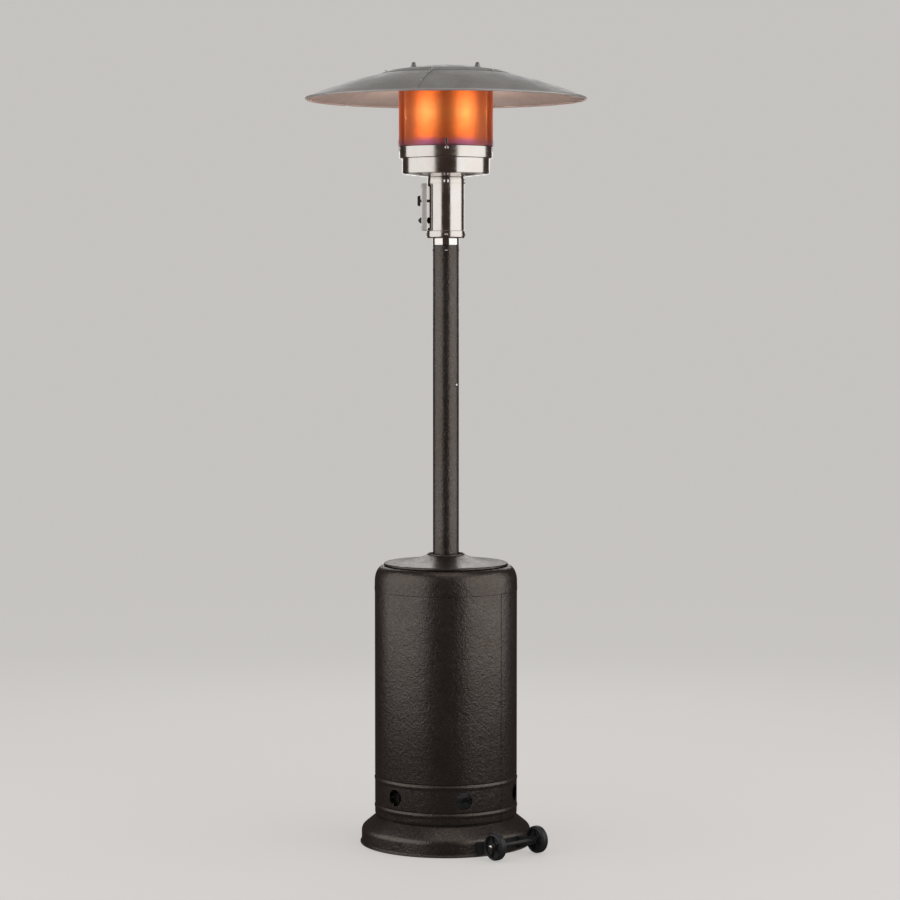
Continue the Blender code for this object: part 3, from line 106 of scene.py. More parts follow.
class Look:
    """A node material with its Principled shader, and short calls to add nodes to it."""

    def __init__(self, name, colour=(0.5, 0.5, 0.5), roughness=0.5, metallic=0.0):
        self.material = bpy.data.materials.new(name)
        self.material.use_nodes = True
        self.tree = self.material.node_tree
        self.shader = self.tree.nodes["Principled BSDF"]
        self.set("Base Color", (*colour, 1.0))
        self.set("Roughness", roughness)
        self.set("Metallic", metallic)
        coordinates = self.tree.nodes.new("ShaderNodeTexCoord")
        self.place = coordinates.outputs["Object"]

    def set(self, socket, value):
        self.shader.inputs[socket].default_value = value

    def feed(self, socket, source):
        self.tree.links.new(source, self.shader.inputs[socket])

    def node(self, kind, inputs=None, **settings):
        made = self.tree.nodes.new(kind)
        for key, value in settings.items():
            setattr(made, key, value)
        for key, value in (inputs or {}).items():
            if isinstance(value, bpy.types.NodeSocket):
                self.tree.links.new(value, made.inputs[key])
            else:
                made.inputs[key].default_value = value
        return made

    def stretched(self, scale):
        """Object coordinates stretched by a scale, for grain that runs one way."""
        return self.node("ShaderNodeMapping", {"Vector": self.place, "Scale": scale}).outputs[0]

    def noise(self, scale, detail=3.0, where=None, roughness=0.55, distortion=0.0):
        made = self.node("ShaderNodeTexNoise", {
            "Vector": where or self.place, "Scale": scale, "Detail": detail,
            "Roughness": roughness, "Distortion": distortion})
        return made.outputs[0]

    def cells(self, scale, feature="SMOOTH_F1", where=None):
        made = self.node("ShaderNodeTexVoronoi", {"Vector": where or self.place, "Scale": scale},
                         feature=feature)
        return made.outputs["Distance"]

    def ramp(self, source, stops):
        made = self.node("ShaderNodeValToRGB", {"Fac": source})
        ramp = made.color_ramp
        while len(ramp.elements) < len(stops):
            ramp.elements.new(1.0)
        for element, (position, colour) in zip(ramp.elements, stops):
            element.position = position
            if isinstance(colour, (int, float)):
                colour = (colour, colour, colour)
            element.color = (*colour, 1.0)
        return made.outputs["Color"]

    def between(self, source, low, high, start=0.0, end=1.0):
        """A number mapped from start..end to low..high."""
        return self.node("ShaderNodeMapRange", {
            "Value": source, "From Min": start, "From Max": end,
            "To Min": low, "To Max": high}).outputs[0]

    def math(self, operation, a, b=0.0):
        return self.node("ShaderNodeMath", {0: a, 1: b}, operation=operation).outputs[0]

    def mix(self, share, a, b, blend="MIX"):
        made = self.node("ShaderNodeMix", data_type="RGBA", blend_type=blend)
        for index, value in ((0, share), (6, a), (7, b)):
            if isinstance(value, bpy.types.NodeSocket):
                self.tree.links.new(value, made.inputs[index])
            elif isinstance(value, tuple):
                made.inputs[index].default_value = (*value, 1.0)
            else:
                made.inputs[index].default_value = value
        return made.outputs[2]

    def bump(self, height, strength, distance, under=None):
        inputs = {"Height": height, "Strength": strength, "Distance": distance}
        if under is not None:
            inputs["Normal"] = under
        return self.node("ShaderNodeBump", inputs).outputs[0]


def hammered_bronze():
    """Dark bronze hammer-finish paint: soft dimples of two sizes, dust near the ground."""
    look = Look("hammered_bronze", (0.06, 0.05, 0.045), 0.36, 0.9)
    wander = look.node("ShaderNodeTexNoise", {"Vector": look.place, "Scale": 60.0}).outputs[1]
    dimples = look.cells(150.0, where=look.mix(0.03, look.place, wander))
    flakes = look.noise(420.0, 2.0)
    drift = look.noise(7.0, 4.0)
    shade = look.ramp(flakes, [(0.30, (0.064, 0.055, 0.049)), (0.60, (0.115, 0.101, 0.092)),
                               (0.74, (0.23, 0.205, 0.185))])
    toned = look.mix(look.between(drift, 0.0, 0.55, 0.35, 0.7), shade, (0.070, 0.056, 0.047))
    height = look.node("ShaderNodeSeparateXYZ", {0: look.place}).outputs[2]
    dust = look.between(height, 0.30, 0.0, 0.0, 0.10)
    speck = look.math("MULTIPLY", dust, look.between(look.noise(55.0, 4.0), 0.0, 1.0, 0.45, 0.7))
    look.feed("Base Color", look.mix(speck, toned, (0.13, 0.11, 0.095)))
    look.feed("Roughness", look.between(look.noise(90.0, 3.0), 0.26, 0.38, 0.3, 0.7))
    waves = look.bump(look.noise(38.0, 3.0, distortion=0.4), 0.35, 0.0022)
    bumps = look.bump(dimples, 0.60, 0.0011, waves)
    look.feed("Normal", look.bump(flakes, 0.10, 0.0002, bumps))
    return look.material


def brushed(name, colour, roughness, grain=0.05, warm=0.0):
    """Stainless sheet polished round the axis: long horizontal grain, faint smudges."""
    look = Look(name, colour, roughness, 1.0)
    lines = look.noise(60.0, 3.0, look.stretched((0.4, 0.4, 14.0)))
    smudge = look.noise(18.0, 4.0, distortion=0.6)
    tint = tuple(c * t for c, t in zip(colour, (1.0, 0.93 - warm, 0.86 - 2 * warm)))
    look.feed("Base Color", look.mix(look.between(smudge, 0.0, 0.7, 0.35, 0.75), colour, tint))
    rough = look.math("ADD", look.between(lines, -grain, grain, 0.3, 0.7),
                      look.between(smudge, roughness - 0.03, roughness + 0.06, 0.35, 0.7))
    look.feed("Roughness", rough)
    look.feed("Normal", look.bump(lines, 0.06, 0.0002))
    return look.material


def rolled_aluminium():
    """Satin reflector sheet, with soft streaks and a few dull blotches."""
    look = Look("satin_aluminium", (0.32, 0.31, 0.30), 0.40, 0.45)
    streaks = look.noise(24.0, 3.0, look.stretched((6.0, 0.6, 3.0)))
    blotch = look.noise(9.0, 5.0, distortion=0.4)
    base = look.ramp(blotch, [(0.3, (0.25, 0.242, 0.234)), (0.6, (0.31, 0.30, 0.29)),
                              (0.8, (0.37, 0.36, 0.35))])
    look.feed("Base Color", look.mix(look.between(streaks, 0.0, 0.3, 0.3, 0.7), base,
                                     (0.37, 0.36, 0.348)))
    look.feed("Roughness", look.between(look.noise(40.0, 4.0), 0.32, 0.46, 0.3, 0.7))
    look.feed("Normal", look.bump(look.noise(15.0, 2.0), 0.15, 0.0015))
    return look.material


def moulded(name, colour, roughness, pits=300.0):
    """Moulded plastic or rubber: fine pitted skin, uneven shine, pale scuffs."""
    look = Look(name, colour, roughness, 0.0)
    grain = look.noise(pits, 3.0)
    scuff = look.noise(60.0, 5.0, distortion=1.0)
    pale = tuple(c * 2.2 + 0.01 for c in colour)
    look.feed("Base Color", look.mix(look.between(scuff, 0.0, 0.6, 0.58, 0.75), colour, pale))
    look.feed("Roughness", look.between(scuff, roughness - 0.06, roughness + 0.12, 0.3, 0.7))
    look.feed("Normal", look.bump(grain, 0.25, 0.0002))
    return look.material


def cast_metal(name, colour, roughness, metallic=1.0):
    """Small cast or drawn metal: mottled tone and a slightly rough skin."""
    look = Look(name, colour, roughness, metallic)
    tone = look.noise(120.0, 4.0)
    dark = tuple(c * 0.6 for c in colour)
    look.feed("Base Color", look.mix(look.between(tone, 0.0, 1.0, 0.35, 0.75), dark, colour))
    look.feed("Roughness", look.between(tone, roughness + 0.12, roughness - 0.04, 0.3, 0.7))
    look.feed("Normal", look.bump(look.noise(700.0, 2.0), 0.2, 0.0002))
    return look.material


def enamel():
    """Light grey gas cylinder paint, scuffed to a darker tone in places."""
    look = Look("grey_enamel", (0.52, 0.53, 0.54), 0.38, 0.0)
    scuff = look.noise(30.0, 6.0, distortion=1.2)
    look.feed("Base Color", look.ramp(scuff, [
        (0.42, (0.40, 0.41, 0.42)), (0.62, (0.36, 0.37, 0.375)), (0.80, (0.25, 0.24, 0.225))]))
    look.feed("Roughness", look.between(scuff, 0.30, 0.60, 0.4, 0.7))
    look.feed("Normal", look.bump(look.noise(160.0, 3.0), 0.15, 0.0004))
    return look.material


def glow_height(look):
    """0 at the screen's foot and 1 at its top."""
    height = look.node("ShaderNodeSeparateXYZ", {0: look.place}).outputs[2]
    return look.between(height, 0.0, 1.0, EMITTER_LOW, EMITTER_HIGH)


def reflection_and_shade_pattern(look):
    """0 to 1 round the emitter: painted reflection bands, dimmed by painted shade towards the
    sides, so strongest towards the front and the back.
    """
    apart = look.node("ShaderNodeSeparateXYZ", {0: look.place})
    angle = look.math("ARCTAN2", apart.outputs[0], apart.outputs[1])
    # Painted reflection bands round the emitter.
    wave = look.math("COSINE", look.math("MULTIPLY", angle, float(PAINTED_BAND_COUNT)))
    painted_bands = look.between(wave, 1.0, 0.0, -1.0, 1.0)
    swing = look.math("COSINE", look.math("MULTIPLY", angle, 2.0))
    # Painted shade: the sides of the emitter are dimmed to half.
    painted_side_shade = look.between(swing, 0.5, 1.0, -1.0, 1.0)
    return look.math("MULTIPLY", painted_bands, painted_side_shade)


def glowing_screen():
    """Expanded steel at red heat, bluish where the gas enters at the foot."""
    look = Look("glowing_screen", (0.30, 0.10, 0.05), 0.36, 1.0)
    up = glow_height(look)
    patch = look.noise(30.0, 4.0, distortion=0.5)
    strand = look.ramp(up, [(0.0, (0.10, 0.045, 0.10)), (0.06, (0.20, 0.05, 0.09)),
                            (0.13, (0.42, 0.055, 0.012)), (0.55, (0.55, 0.075, 0.010)),
                            (1.0, (0.26, 0.03, 0.006))])
    look.feed("Base Color", look.mix(look.between(patch, 0.0, 0.6, 0.35, 0.7),
                                     (0.30, 0.10, 0.05), (0.16, 0.05, 0.03)))
    look.feed("Emission Color", strand)
    # The glow's strength carries the painted reflection bands and painted shade at the sides, with
    # random patches on top.
    share = look.math("ADD", look.between(reflection_and_shade_pattern(look), 0.25, 1.0),
                      look.between(patch, -0.12, 0.12, 0.3, 0.7))
    look.feed("Emission Strength", share)
    look.feed("Roughness", look.between(patch, 0.30, 0.44, 0.3, 0.7))
    look.feed("Normal", look.bump(look.noise(400.0, 2.0), 0.2, 0.0003))
    return look.material


def flame_glow():
    """Hot gas and inner gauze seen through the screen: orange-yellow, dim at foot and top."""
    look = Look("flame_glow", (0.10, 0.03, 0.01), 0.9, 0.0)
    up = glow_height(look)
    waves = look.noise(70.0, 4.0, look.stretched((1.0, 1.0, 2.6)), distortion=1.2)
    hot = look.ramp(up, [(0.0, (0.10, 0.05, 0.22)), (0.07, (0.22, 0.05, 0.12)),
                         (0.16, (0.85, 0.17, 0.02)), (0.50, (1.0, 0.36, 0.07)),
                         (0.82, (0.90, 0.15, 0.02)), (1.0, (0.40, 0.04, 0.004))])
    # Painted reflection bands and painted shade at the sides: away from the bands the glow is
    # darker red and weaker.
    painted_bands = reflection_and_shade_pattern(look)
    look.feed("Emission Color", look.mix(look.between(painted_bands, 0.45, 0.0, 0.0, 0.7), hot,
                                         (0.45, 0.05, 0.008)))
    share = look.math("MULTIPLY", look.between(painted_bands, 0.50, 2.6),
                      look.between(waves, 0.60, 1.35, 0.38, 0.62))
    look.feed("Emission Strength", share)
    look.feed("Roughness", look.between(waves, 0.7, 0.9, 0.3, 0.7))
    return look.material


def satin_steel():
    """Stainless sheet with a dull satin face, as on the control panel."""
    look = Look("satin_steel", (0.62, 0.60, 0.57), 0.38, 0.55)
    grain = look.noise(90.0, 3.0, look.stretched((14.0, 0.5, 0.5)))
    smudge = look.noise(30.0, 4.0)
    look.feed("Base Color", look.mix(look.between(smudge, 0.0, 0.8, 0.4, 0.75),
                                     (0.62, 0.60, 0.575), (0.50, 0.475, 0.45)))
    look.feed("Roughness", look.between(smudge, 0.32, 0.46, 0.3, 0.7))
    look.feed("Normal", look.bump(grain, 0.08, 0.0002))
    return look.material


LOOKS = {
    "hammered_bronze": hammered_bronze(),
    "polished_steel": brushed("polished_steel", (0.66, 0.635, 0.61), 0.17),
    "satin_steel": satin_steel(),
    "chrome": brushed("chrome", (0.80, 0.79, 0.78), 0.08, 0.02),
    "satin_aluminium": rolled_aluminium(),
    "glowing_screen": glowing_screen(),
    "flame_glow": flame_glow(),
    "black_plastic": moulded("black_plastic", (0.012, 0.012, 0.013), 0.42),
    "black_steel": moulded("black_steel", (0.014, 0.014, 0.014), 0.48, 500.0),
    "grey_enamel": enamel(),
    "brass": cast_metal("brass", (0.74, 0.53, 0.23), 0.28),
    "cast_zinc": cast_metal("cast_zinc", (0.40, 0.41, 0.42), 0.42),
    "rubber": moulded("rubber", (0.016, 0.016, 0.016), 0.62, 800.0),
    "copper": cast_metal("copper", (0.80, 0.42, 0.26), 0.30),
    "ceramic": moulded("ceramic", (0.80, 0.78, 0.72), 0.30, 200.0),
}


# ==== geometry helpers ================================================================

def around(azimuth, radius, height=0.0):
    angle = radians(azimuth)
    return Vector((radius * sin(angle), -radius * cos(angle), height))


def aimed(origin, direction):
    """The matrix that puts local +Z along a direction, at an origin."""
    turn = Vector(direction).to_track_quat("Z", "Y").to_matrix().to_4x4()
    return Matrix.Translation(Vector(origin)) @ turn


def rounded(path, steps=4):
    """A path of (radius, height) points, where a third value rounds the corner."""
    made = []
    for index, point in enumerate(path):
        corner = Vector(point[:2])
        size = point[2] if len(point) > 2 else 0.0
        if not size or index in (0, len(path) - 1):
            made.append(corner)
            continue
        back = Vector(path[index - 1][:2]) - corner
        ahead = Vector(path[index + 1][:2]) - corner
        reach = min(size, back.length * 0.49, ahead.length * 0.49)
        start = corner + back.normalized() * reach
        end = corner + ahead.normalized() * reach
        for step in range(steps + 1):
            share = step / steps
            made.append(start.lerp(corner, share).lerp(corner.lerp(end, share), share))
    return made


def sheet_profile(points, thickness):
    """A closed outline: the points, and the same points moved in by the sheet's thickness."""
    inner = []
    for index, point in enumerate(points):
        before = points[max(0, index - 1)]
        after = points[min(len(points) - 1, index + 1)]
        one, two = point - before, after - point
        one = one.normalized() if one.length else two.normalized()
        two = two.normalized() if two.length else one
        normal = Vector((-(one.y + two.y), one.x + two.x)).normalized()
        lean = max(0.5, normal.dot(Vector((-one.y, one.x))))
        inner.append(point - normal * (thickness / lean))
    return list(points) + inner[::-1]


def even_angles(segments, start=0.0, sweep=360.0):
    """Azimuths of a lathe's sides; a full turn doesn't repeat its first."""
    count = segments if sweep >= 360.0 else segments + 1
    return [start + sweep * index / segments for index in range(count)]


def new_mesh(name, build, sharp=38.0):
    mesh = bpy.data.meshes.new(name)
    build.to_mesh(mesh)
    build.free()
    mesh.shade_smooth()
    mesh.set_sharp_from_angle(angle=radians(sharp))
    return mesh


def put(name, mesh, look, body=ROOT, slot=None, nodes=(), matrix=None):
    """Adds a piece with its material and body, and hides the CAD nodes it stands for; the slot
    argument is not used.
    """
    piece = bpy.data.objects.new(name, mesh)
    bpy.context.scene.collection.objects.link(piece)
    if matrix is not None:
        piece.matrix_world = matrix
    mesh.materials.clear()
    mesh.materials.append(LOOKS[look])
    if nodes:
        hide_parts(*nodes)
    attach(piece, body)
    return piece


def lathe_into(build, outline, angles, full=True, closed=True, swell=None):
    """Turns an outline about Z into a bmesh. swell(azimuth, height) moves the wall outwards."""
    rings = []
    for point in outline:
        radius, height = point
        if radius < 1e-6:
            rings.append([build.verts.new((0.0, 0.0, height))])
            continue
        ring = []
        for azimuth in angles:
            out = radius + (swell(azimuth, height) if swell else 0.0)
            ring.append(build.verts.new(around(azimuth, out, height)))
        rings.append(ring)
    pairs = list(zip(rings, rings[1:]))
    if closed:
        pairs.append((rings[-1], rings[0]))
    count = len(angles)
    for upper, lower in pairs:
        for index in range(count if full else count - 1):
            other = (index + 1) % count
            corners = [upper[index % len(upper)], lower[index % len(lower)],
                       lower[other % len(lower)], upper[other % len(upper)]]
            distinct = []
            for corner in corners:
                if corner not in distinct:
                    distinct.append(corner)
            if len(distinct) > 2:
                build.faces.new(distinct)
    if not full and closed:
        for end in (0, count - 1):
            face = [ring[end % len(ring)] for ring in rings]
            build.faces.new(face if end else face[::-1])
    bmesh.ops.recalc_face_normals(build, faces=build.faces)


def lathe(name, path, look, thickness=None, segments=96, angles=None, full=True,
          swell=None, steps=4, **place):
    """A turned piece. With a thickness the path is a sheet; without, it starts and ends
    on the axis, or closes on itself if it stays off the axis."""
    points = rounded(path, steps)
    closed = True
    if thickness:
        points = sheet_profile(points, thickness)
    elif points[0].x < 1e-6:
        closed = False
    build = bmesh.new()
    lathe_into(build, [(p.x, p.y) for p in points], angles or even_angles(segments),
               full, closed, swell)
    return put(name, new_mesh(name, build), look, **place)


def cut_with(piece, cutters):
    """Applies a Boolean cut with helper objects and removes them."""
    for cutter in cutters:
        step = piece.modifiers.new("cut", "BOOLEAN")
        step.operation = "DIFFERENCE"
        step.solver = "EXACT"
        step.object = cutter
    graph = bpy.context.evaluated_depsgraph_get()
    graph.update()
    cut = bpy.data.meshes.new_from_object(piece.evaluated_get(graph))
    piece.modifiers.clear()
    piece.data = cut
    cut.shade_smooth()
    cut.set_sharp_from_angle(angle=radians(38))
    for cutter in cutters:
        bpy.data.objects.remove(cutter)


def rod_cutter(start, end, radius, segments=48):
    """A plain round bar between two points, used only to cut."""
    start, end = Vector(start), Vector(end)
    build = bmesh.new()
    length = (end - start).length
    bmesh.ops.create_cone(build, cap_ends=True, segments=segments, radius1=radius,
                          radius2=radius, depth=length,
                          matrix=Matrix.Translation((0, 0, length / 2)))
    mesh = bpy.data.meshes.new("cutter")
    build.to_mesh(mesh)
    build.free()
    cutter = bpy.data.objects.new("cutter", mesh)
    bpy.context.scene.collection.objects.link(cutter)
    cutter.matrix_world = aimed(start, end - start)
    return cutter


def rounded_box(name, low, high, look, edge=0.0015, matrix=None, **place):
    """A box between two corners with rounded edges."""
    low, high = Vector(low), Vector(high)
    build = bmesh.new()
    bmesh.ops.create_cube(build, size=1.0)
    bmesh.ops.scale(build, vec=high - low, verts=build.verts)
    bmesh.ops.translate(build, vec=(low + high) / 2, verts=build.verts)
    bmesh.ops.bevel(build, geom=build.edges[:], offset=edge, segments=3, profile=0.5,
                    affect="EDGES")
    return put(name, new_mesh(name, build), look, matrix=matrix, **place)


def screw_head(name, seat, direction, radius, look="chrome", body=ROOT, rise=0.55,
               nodes=(), shank=0.0):
    """Pan-head screw with a recess, its underside at the seat and its shank behind it."""
    top = radius * rise
    path = [(0.0, top * 0.55), (radius * 0.30, top * 0.55), (radius * 0.36, top * 0.98, 0.0003),
            (radius * 0.62, top * 0.93), (radius * 0.88, top * 0.62),
            (radius, top * 0.18, 0.0002), (radius * 0.97, 0.0)]
    if shank:
        path += [(radius * 0.45, 0.0), (radius * 0.45, -shank)]
    path.append((0.0, path[-1][1]))
    return lathe(name, path, look, segments=24, steps=2, body=body, nodes=nodes,
                 matrix=aimed(seat, direction))


# ==== base, wheels, legs ===============================================================

def build_base():
    wall = BASE_RIM - 0.004
    edge = COVER_RADIUS - 0.008
    path = [(0.014, DECK), (edge, DECK, 0.005), (wall, 0.045, 0.010), (wall, 0.0065, 0.002),
            (BASE_RIM, 0.0045, 0.0016), (BASE_RIM, 0.0006, 0.0016), (wall + 0.001, 0.0002)]
    lathe("base_pan", path, "hammered_bronze", thickness=0.0016, segments=144,
          nodes=("base_shell",))


def wheel_places():
    for name in ("near", "far"):
        low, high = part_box("wheel_" + name)
        yield name, (low + high) / 2


def build_wheels():
    places = dict(wheel_places())
    axle = (places["far"] - places["near"]).normalized()
    middle = (places["far"] + places["near"]) / 2
    half, tread = WHEEL_HALF_WIDTH, TREAD_RADIUS
    for name, centre in places.items():
        matrix = aimed(centre, axle)
        build = bmesh.new()
        side = [(0.0315, half - 0.0005, 0.001), (tread - 0.006, half, 0.002),
                (tread, half - 0.0045, 0.003), (tread, 0.0008), (tread - 0.0008, 0.0)]
        path = side + [(r, -h, *f) for r, h, *f in side[-2::-1]]
        path += [(0.030, -half + 0.004, 0.001), (0.0295, -0.0022, 0.002), (0.011, -0.0022, 0.001),
                 (0.0105, -half + 0.001, 0.001), (0.0053, -half + 0.001), (0.0053, half - 0.001),
                 (0.0105, half - 0.001, 0.001), (0.011, 0.0022, 0.001), (0.0295, 0.0022, 0.002),
                 (0.030, half - 0.004, 0.001)]
        points = rounded(path, 3)
        lathe_into(build, [(p.x, p.y) for p in points], even_angles(72))
        for index in range(SPOKE_COUNT):
            spoke = bmesh.ops.create_cube(build, size=1.0)["verts"]
            bmesh.ops.scale(build, vec=(0.0022, 0.021, 0.015), verts=spoke)
            bmesh.ops.translate(build, vec=(0.0, -0.0205, 0.0), verts=spoke)
            turn = Matrix.Rotation(radians(360 / SPOKE_COUNT * index + 20), 3, "Z")
            bmesh.ops.rotate(build, cent=(0, 0, 0), verts=spoke, matrix=turn)
        put("rolling_wheel_" + name, new_mesh("rolling_wheel_" + name, build), "black_plastic",
            body=name + "_wheel", nodes=("wheel_" + name,), matrix=matrix)
        side = 1 if name == "far" else -1
        cap = [(0.0, 0.009), (0.004, 0.009, 0.001), (0.0072, 0.0072, 0.002), (0.0075, 0.0, 0.0004),
               (0.0053, 0.0), (0.0053, 0.0055), (0.0, 0.0055)]
        lathe("end_cap_" + name, cap, "chrome", segments=32, nodes=("axle_cap_" + name,),
              matrix=aimed(centre + side * axle * (half + 0.0006), side * axle))
    reach = (places["far"] - places["near"]).length / 2 + half
    lathe("axle_rod", [(0.0, reach + 0.005), (0.005, reach + 0.005, 0.0005),
                       (0.005, -reach - 0.005, 0.0005), (0.0, -reach - 0.005)],
          "black_steel", segments=32, nodes=("wheel_axle",), matrix=aimed(middle, axle))
    for index in (1, 2):
        low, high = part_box("bracket_bolt_%d" % index)
        centre = (low + high) / 2
        outward = Vector((centre.x, centre.y, 0.0)).normalized()
        seat = outward * (BASE_RIM - 0.004 + 0.0033) + Vector((0, 0, centre.z))
        screw_head("bracket_screw_%d" % index, seat, outward, 0.0065, rise=0.62,
                   nodes=("bracket_bolt_%d" % index,), shank=0.008)


# ==== housing and lid ====================================================================

def seam_swell(azimuth, height):
    """The lap seam: the sheet stands proud on one side of it and blends away."""
    past = azimuth - SEAM_AZIMUTH
    if height > SEAM_HEIGHT + 0.003 or not 0.0 <= past <= SEAM_BLEND:
        return 0.0
    return 0.0013 * (1 - past / SEAM_BLEND)


def groove(wall, height):
    """A rolled groove with a soft bead under it."""
    return [(wall, height + 0.0035, 0.001), (wall - 0.0018, height + 0.0008, 0.0008),
            (wall - 0.0012, height - 0.0010, 0.0008), (wall + 0.0014, height - 0.0042, 0.0018),
            (wall + 0.0014, height - 0.0085, 0.002), (wall, height - 0.014, 0.003)]


def build_housing():
    wall = COVER_RADIUS
    shoulder_low = COVER_HIGH - SHOULDER_RISE
    inset = SHOULDER_INSET
    path = [(wall - inset - 0.006, COVER_HIGH - 0.0006, 0.002),
            (wall - inset + 0.004, COVER_HIGH, 0.003)]
    for step in range(2, 13):
        angle = pi / 2 * step / 12
        path.append((wall - inset + inset * sin(angle),
                     shoulder_low + SHOULDER_RISE * cos(angle)))
    path += [(wall + 0.0006, SEAM_HEIGHT + 0.0025, 0.0006),
             (wall + 0.0006, SEAM_HEIGHT + 0.0005, 0.0004),
             (wall - 0.0008, SEAM_HEIGHT - 0.0002, 0.0003),
             (wall - 0.0002, SEAM_HEIGHT - 0.0012, 0.0006)]
    for height in GROOVE_HEIGHTS:
        path += groove(wall, height)
    path += [(wall, COVER_LOW + 0.006, 0.003), (wall - 0.003, COVER_LOW + 0.0004)]
    angles = sorted(set(even_angles(180, -180.0)
                        + [SEAM_AZIMUTH - 0.12, SEAM_AZIMUTH, SEAM_AZIMUTH + SEAM_BLEND]))
    housing = lathe("cylinder_housing", path, "hammered_bronze", thickness=0.0012,
                    angles=angles, swell=seam_swell, body=COVER, nodes=("tank_housing",))
    vents = []
    for azimuth in even_angles(VENT_COUNT, VENT_FIRST):
        vents.append(rod_cutter(around(azimuth, wall - 0.03, VENT_HEIGHT),
                                around(azimuth, wall + 0.03, VENT_HEIGHT), VENT_RADIUS))
    cut_with(housing, vents)


def build_lid():
    neck = POST_RADIUS + 0.0125
    path = [(neck + 0.0005, LID_HIGH - 0.004, 0.001), (neck + 0.0012, LID_HIGH, 0.001),
            (neck + 0.0035, LID_HIGH - 0.0002, 0.001), (neck + 0.0046, LID_HIGH - 0.004, 0.001)]
    low = LID_LOW + 0.0085
    for step in range(1, 17):
        share = step / 16
        radius = neck + 0.0048 + (LID_RADIUS - 0.005 - neck - 0.0048) * share
        path.append((radius, low + (LID_HIGH - 0.0045 - low) * (1 - share) ** 2.2))
    path += [(LID_RADIUS, LID_LOW + 0.0065, 0.003), (LID_RADIUS, LID_LOW + 0.001, 0.002),
             (LID_RADIUS - 0.004, LID_LOW)]
    lathe("bell_lid", path, "hammered_bronze", thickness=0.0012, segments=144, body=COVER,
          nodes=("housing_lid",))


# ==== post ==================================================================================

def build_post():
    path = [(POST_RADIUS - 0.0012, POST_HIGH), (POST_RADIUS, POST_HIGH - 0.001, 0.0006),
            (POST_RADIUS, POST_LOW)]
    lathe("round_post", path, "hammered_bronze", thickness=0.0015, segments=96, nodes=("post",))
    for index in range(4):
        azimuth = SCREW_AZIMUTH + 90 * index
        screw_head("post_screw_%d" % (index + 1), around(azimuth, POST_RADIUS, POST_HIGH - 0.015),
                   around(azimuth, 1.0), 0.0033, look="chrome")
    low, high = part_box("hang_screw")
    centre = (low + high) / 2
    outward = Vector((centre.x, centre.y, 0.0)).normalized()
    screw_head("hang_bolt", outward * POST_RADIUS + Vector((0, 0, centre.z)), outward, 0.005,
               rise=0.7, nodes=("hang_screw",), shank=0.006)


# ==== control head ==========================================================================

def build_head():
    spigot_low, spigot_high = low_of("head_spigot"), high_of("head_spigot")
    ring = outer_radius("head_spigot")
    lathe("bright_spigot", [(0.034, spigot_high), (ring, spigot_high, 0.0006),
                            (ring, POST_HIGH + 0.0003, 0.0008), (0.0357, POST_HIGH + 0.0003),
                            (0.0357, spigot_low), (0.034, spigot_low)],
          "chrome", segments=96, nodes=("head_spigot",))

    band = outer_radius("head_band")
    low, high = low_of("head_band"), high_of("head_band")
    lathe("lower_band", [(band - 0.0014, high), (band, high - 0.0008, 0.0008), (band, low, 0.006),
                         (0.0345, low)],
          "polished_steel", thickness=0.0012, segments=96, steps=6, nodes=("head_band",))
    shell = outer_radius("control_housing")
    top = high_of("control_housing")
    sleeve = lathe("control_sleeve", [(shell, top), (shell, low_of("control_housing"))],
                   "polished_steel", thickness=0.0012, segments=128, nodes=("control_housing",))
    window = rounded_box("window_cutter", (-shell - 0.01, -0.024, high + 0.008),
                         (-0.02, 0.024, top - 0.008), "polished_steel", edge=0.001)
    cut_with(sleeve, [window])
    low, high = low_of("head_collar"), high_of("head_collar")
    collar = shell + 0.0002
    lathe("upper_collar", [(0.034, high), (shell - 0.0005, high, 0.0015),
                           (collar, low + 0.0012, 0.0006), (collar, low)],
          "polished_steel", thickness=0.0012, segments=96, nodes=("head_collar",))
    for index in range(4):
        azimuth = SCREW_AZIMUTH + 90 * index
        outward = around(azimuth, 1.0)
        seat = around(azimuth, band, low_of("head_band") + 0.0105)
        screw_head("band_screw_%d" % (index + 1), seat, outward, 0.004, look="chrome")
        if index != 3:
            screw_head("collar_screw_%d" % (index + 1), around(azimuth, collar, low + 0.0062),
                       outward, 0.0075, look="chrome", rise=0.45)


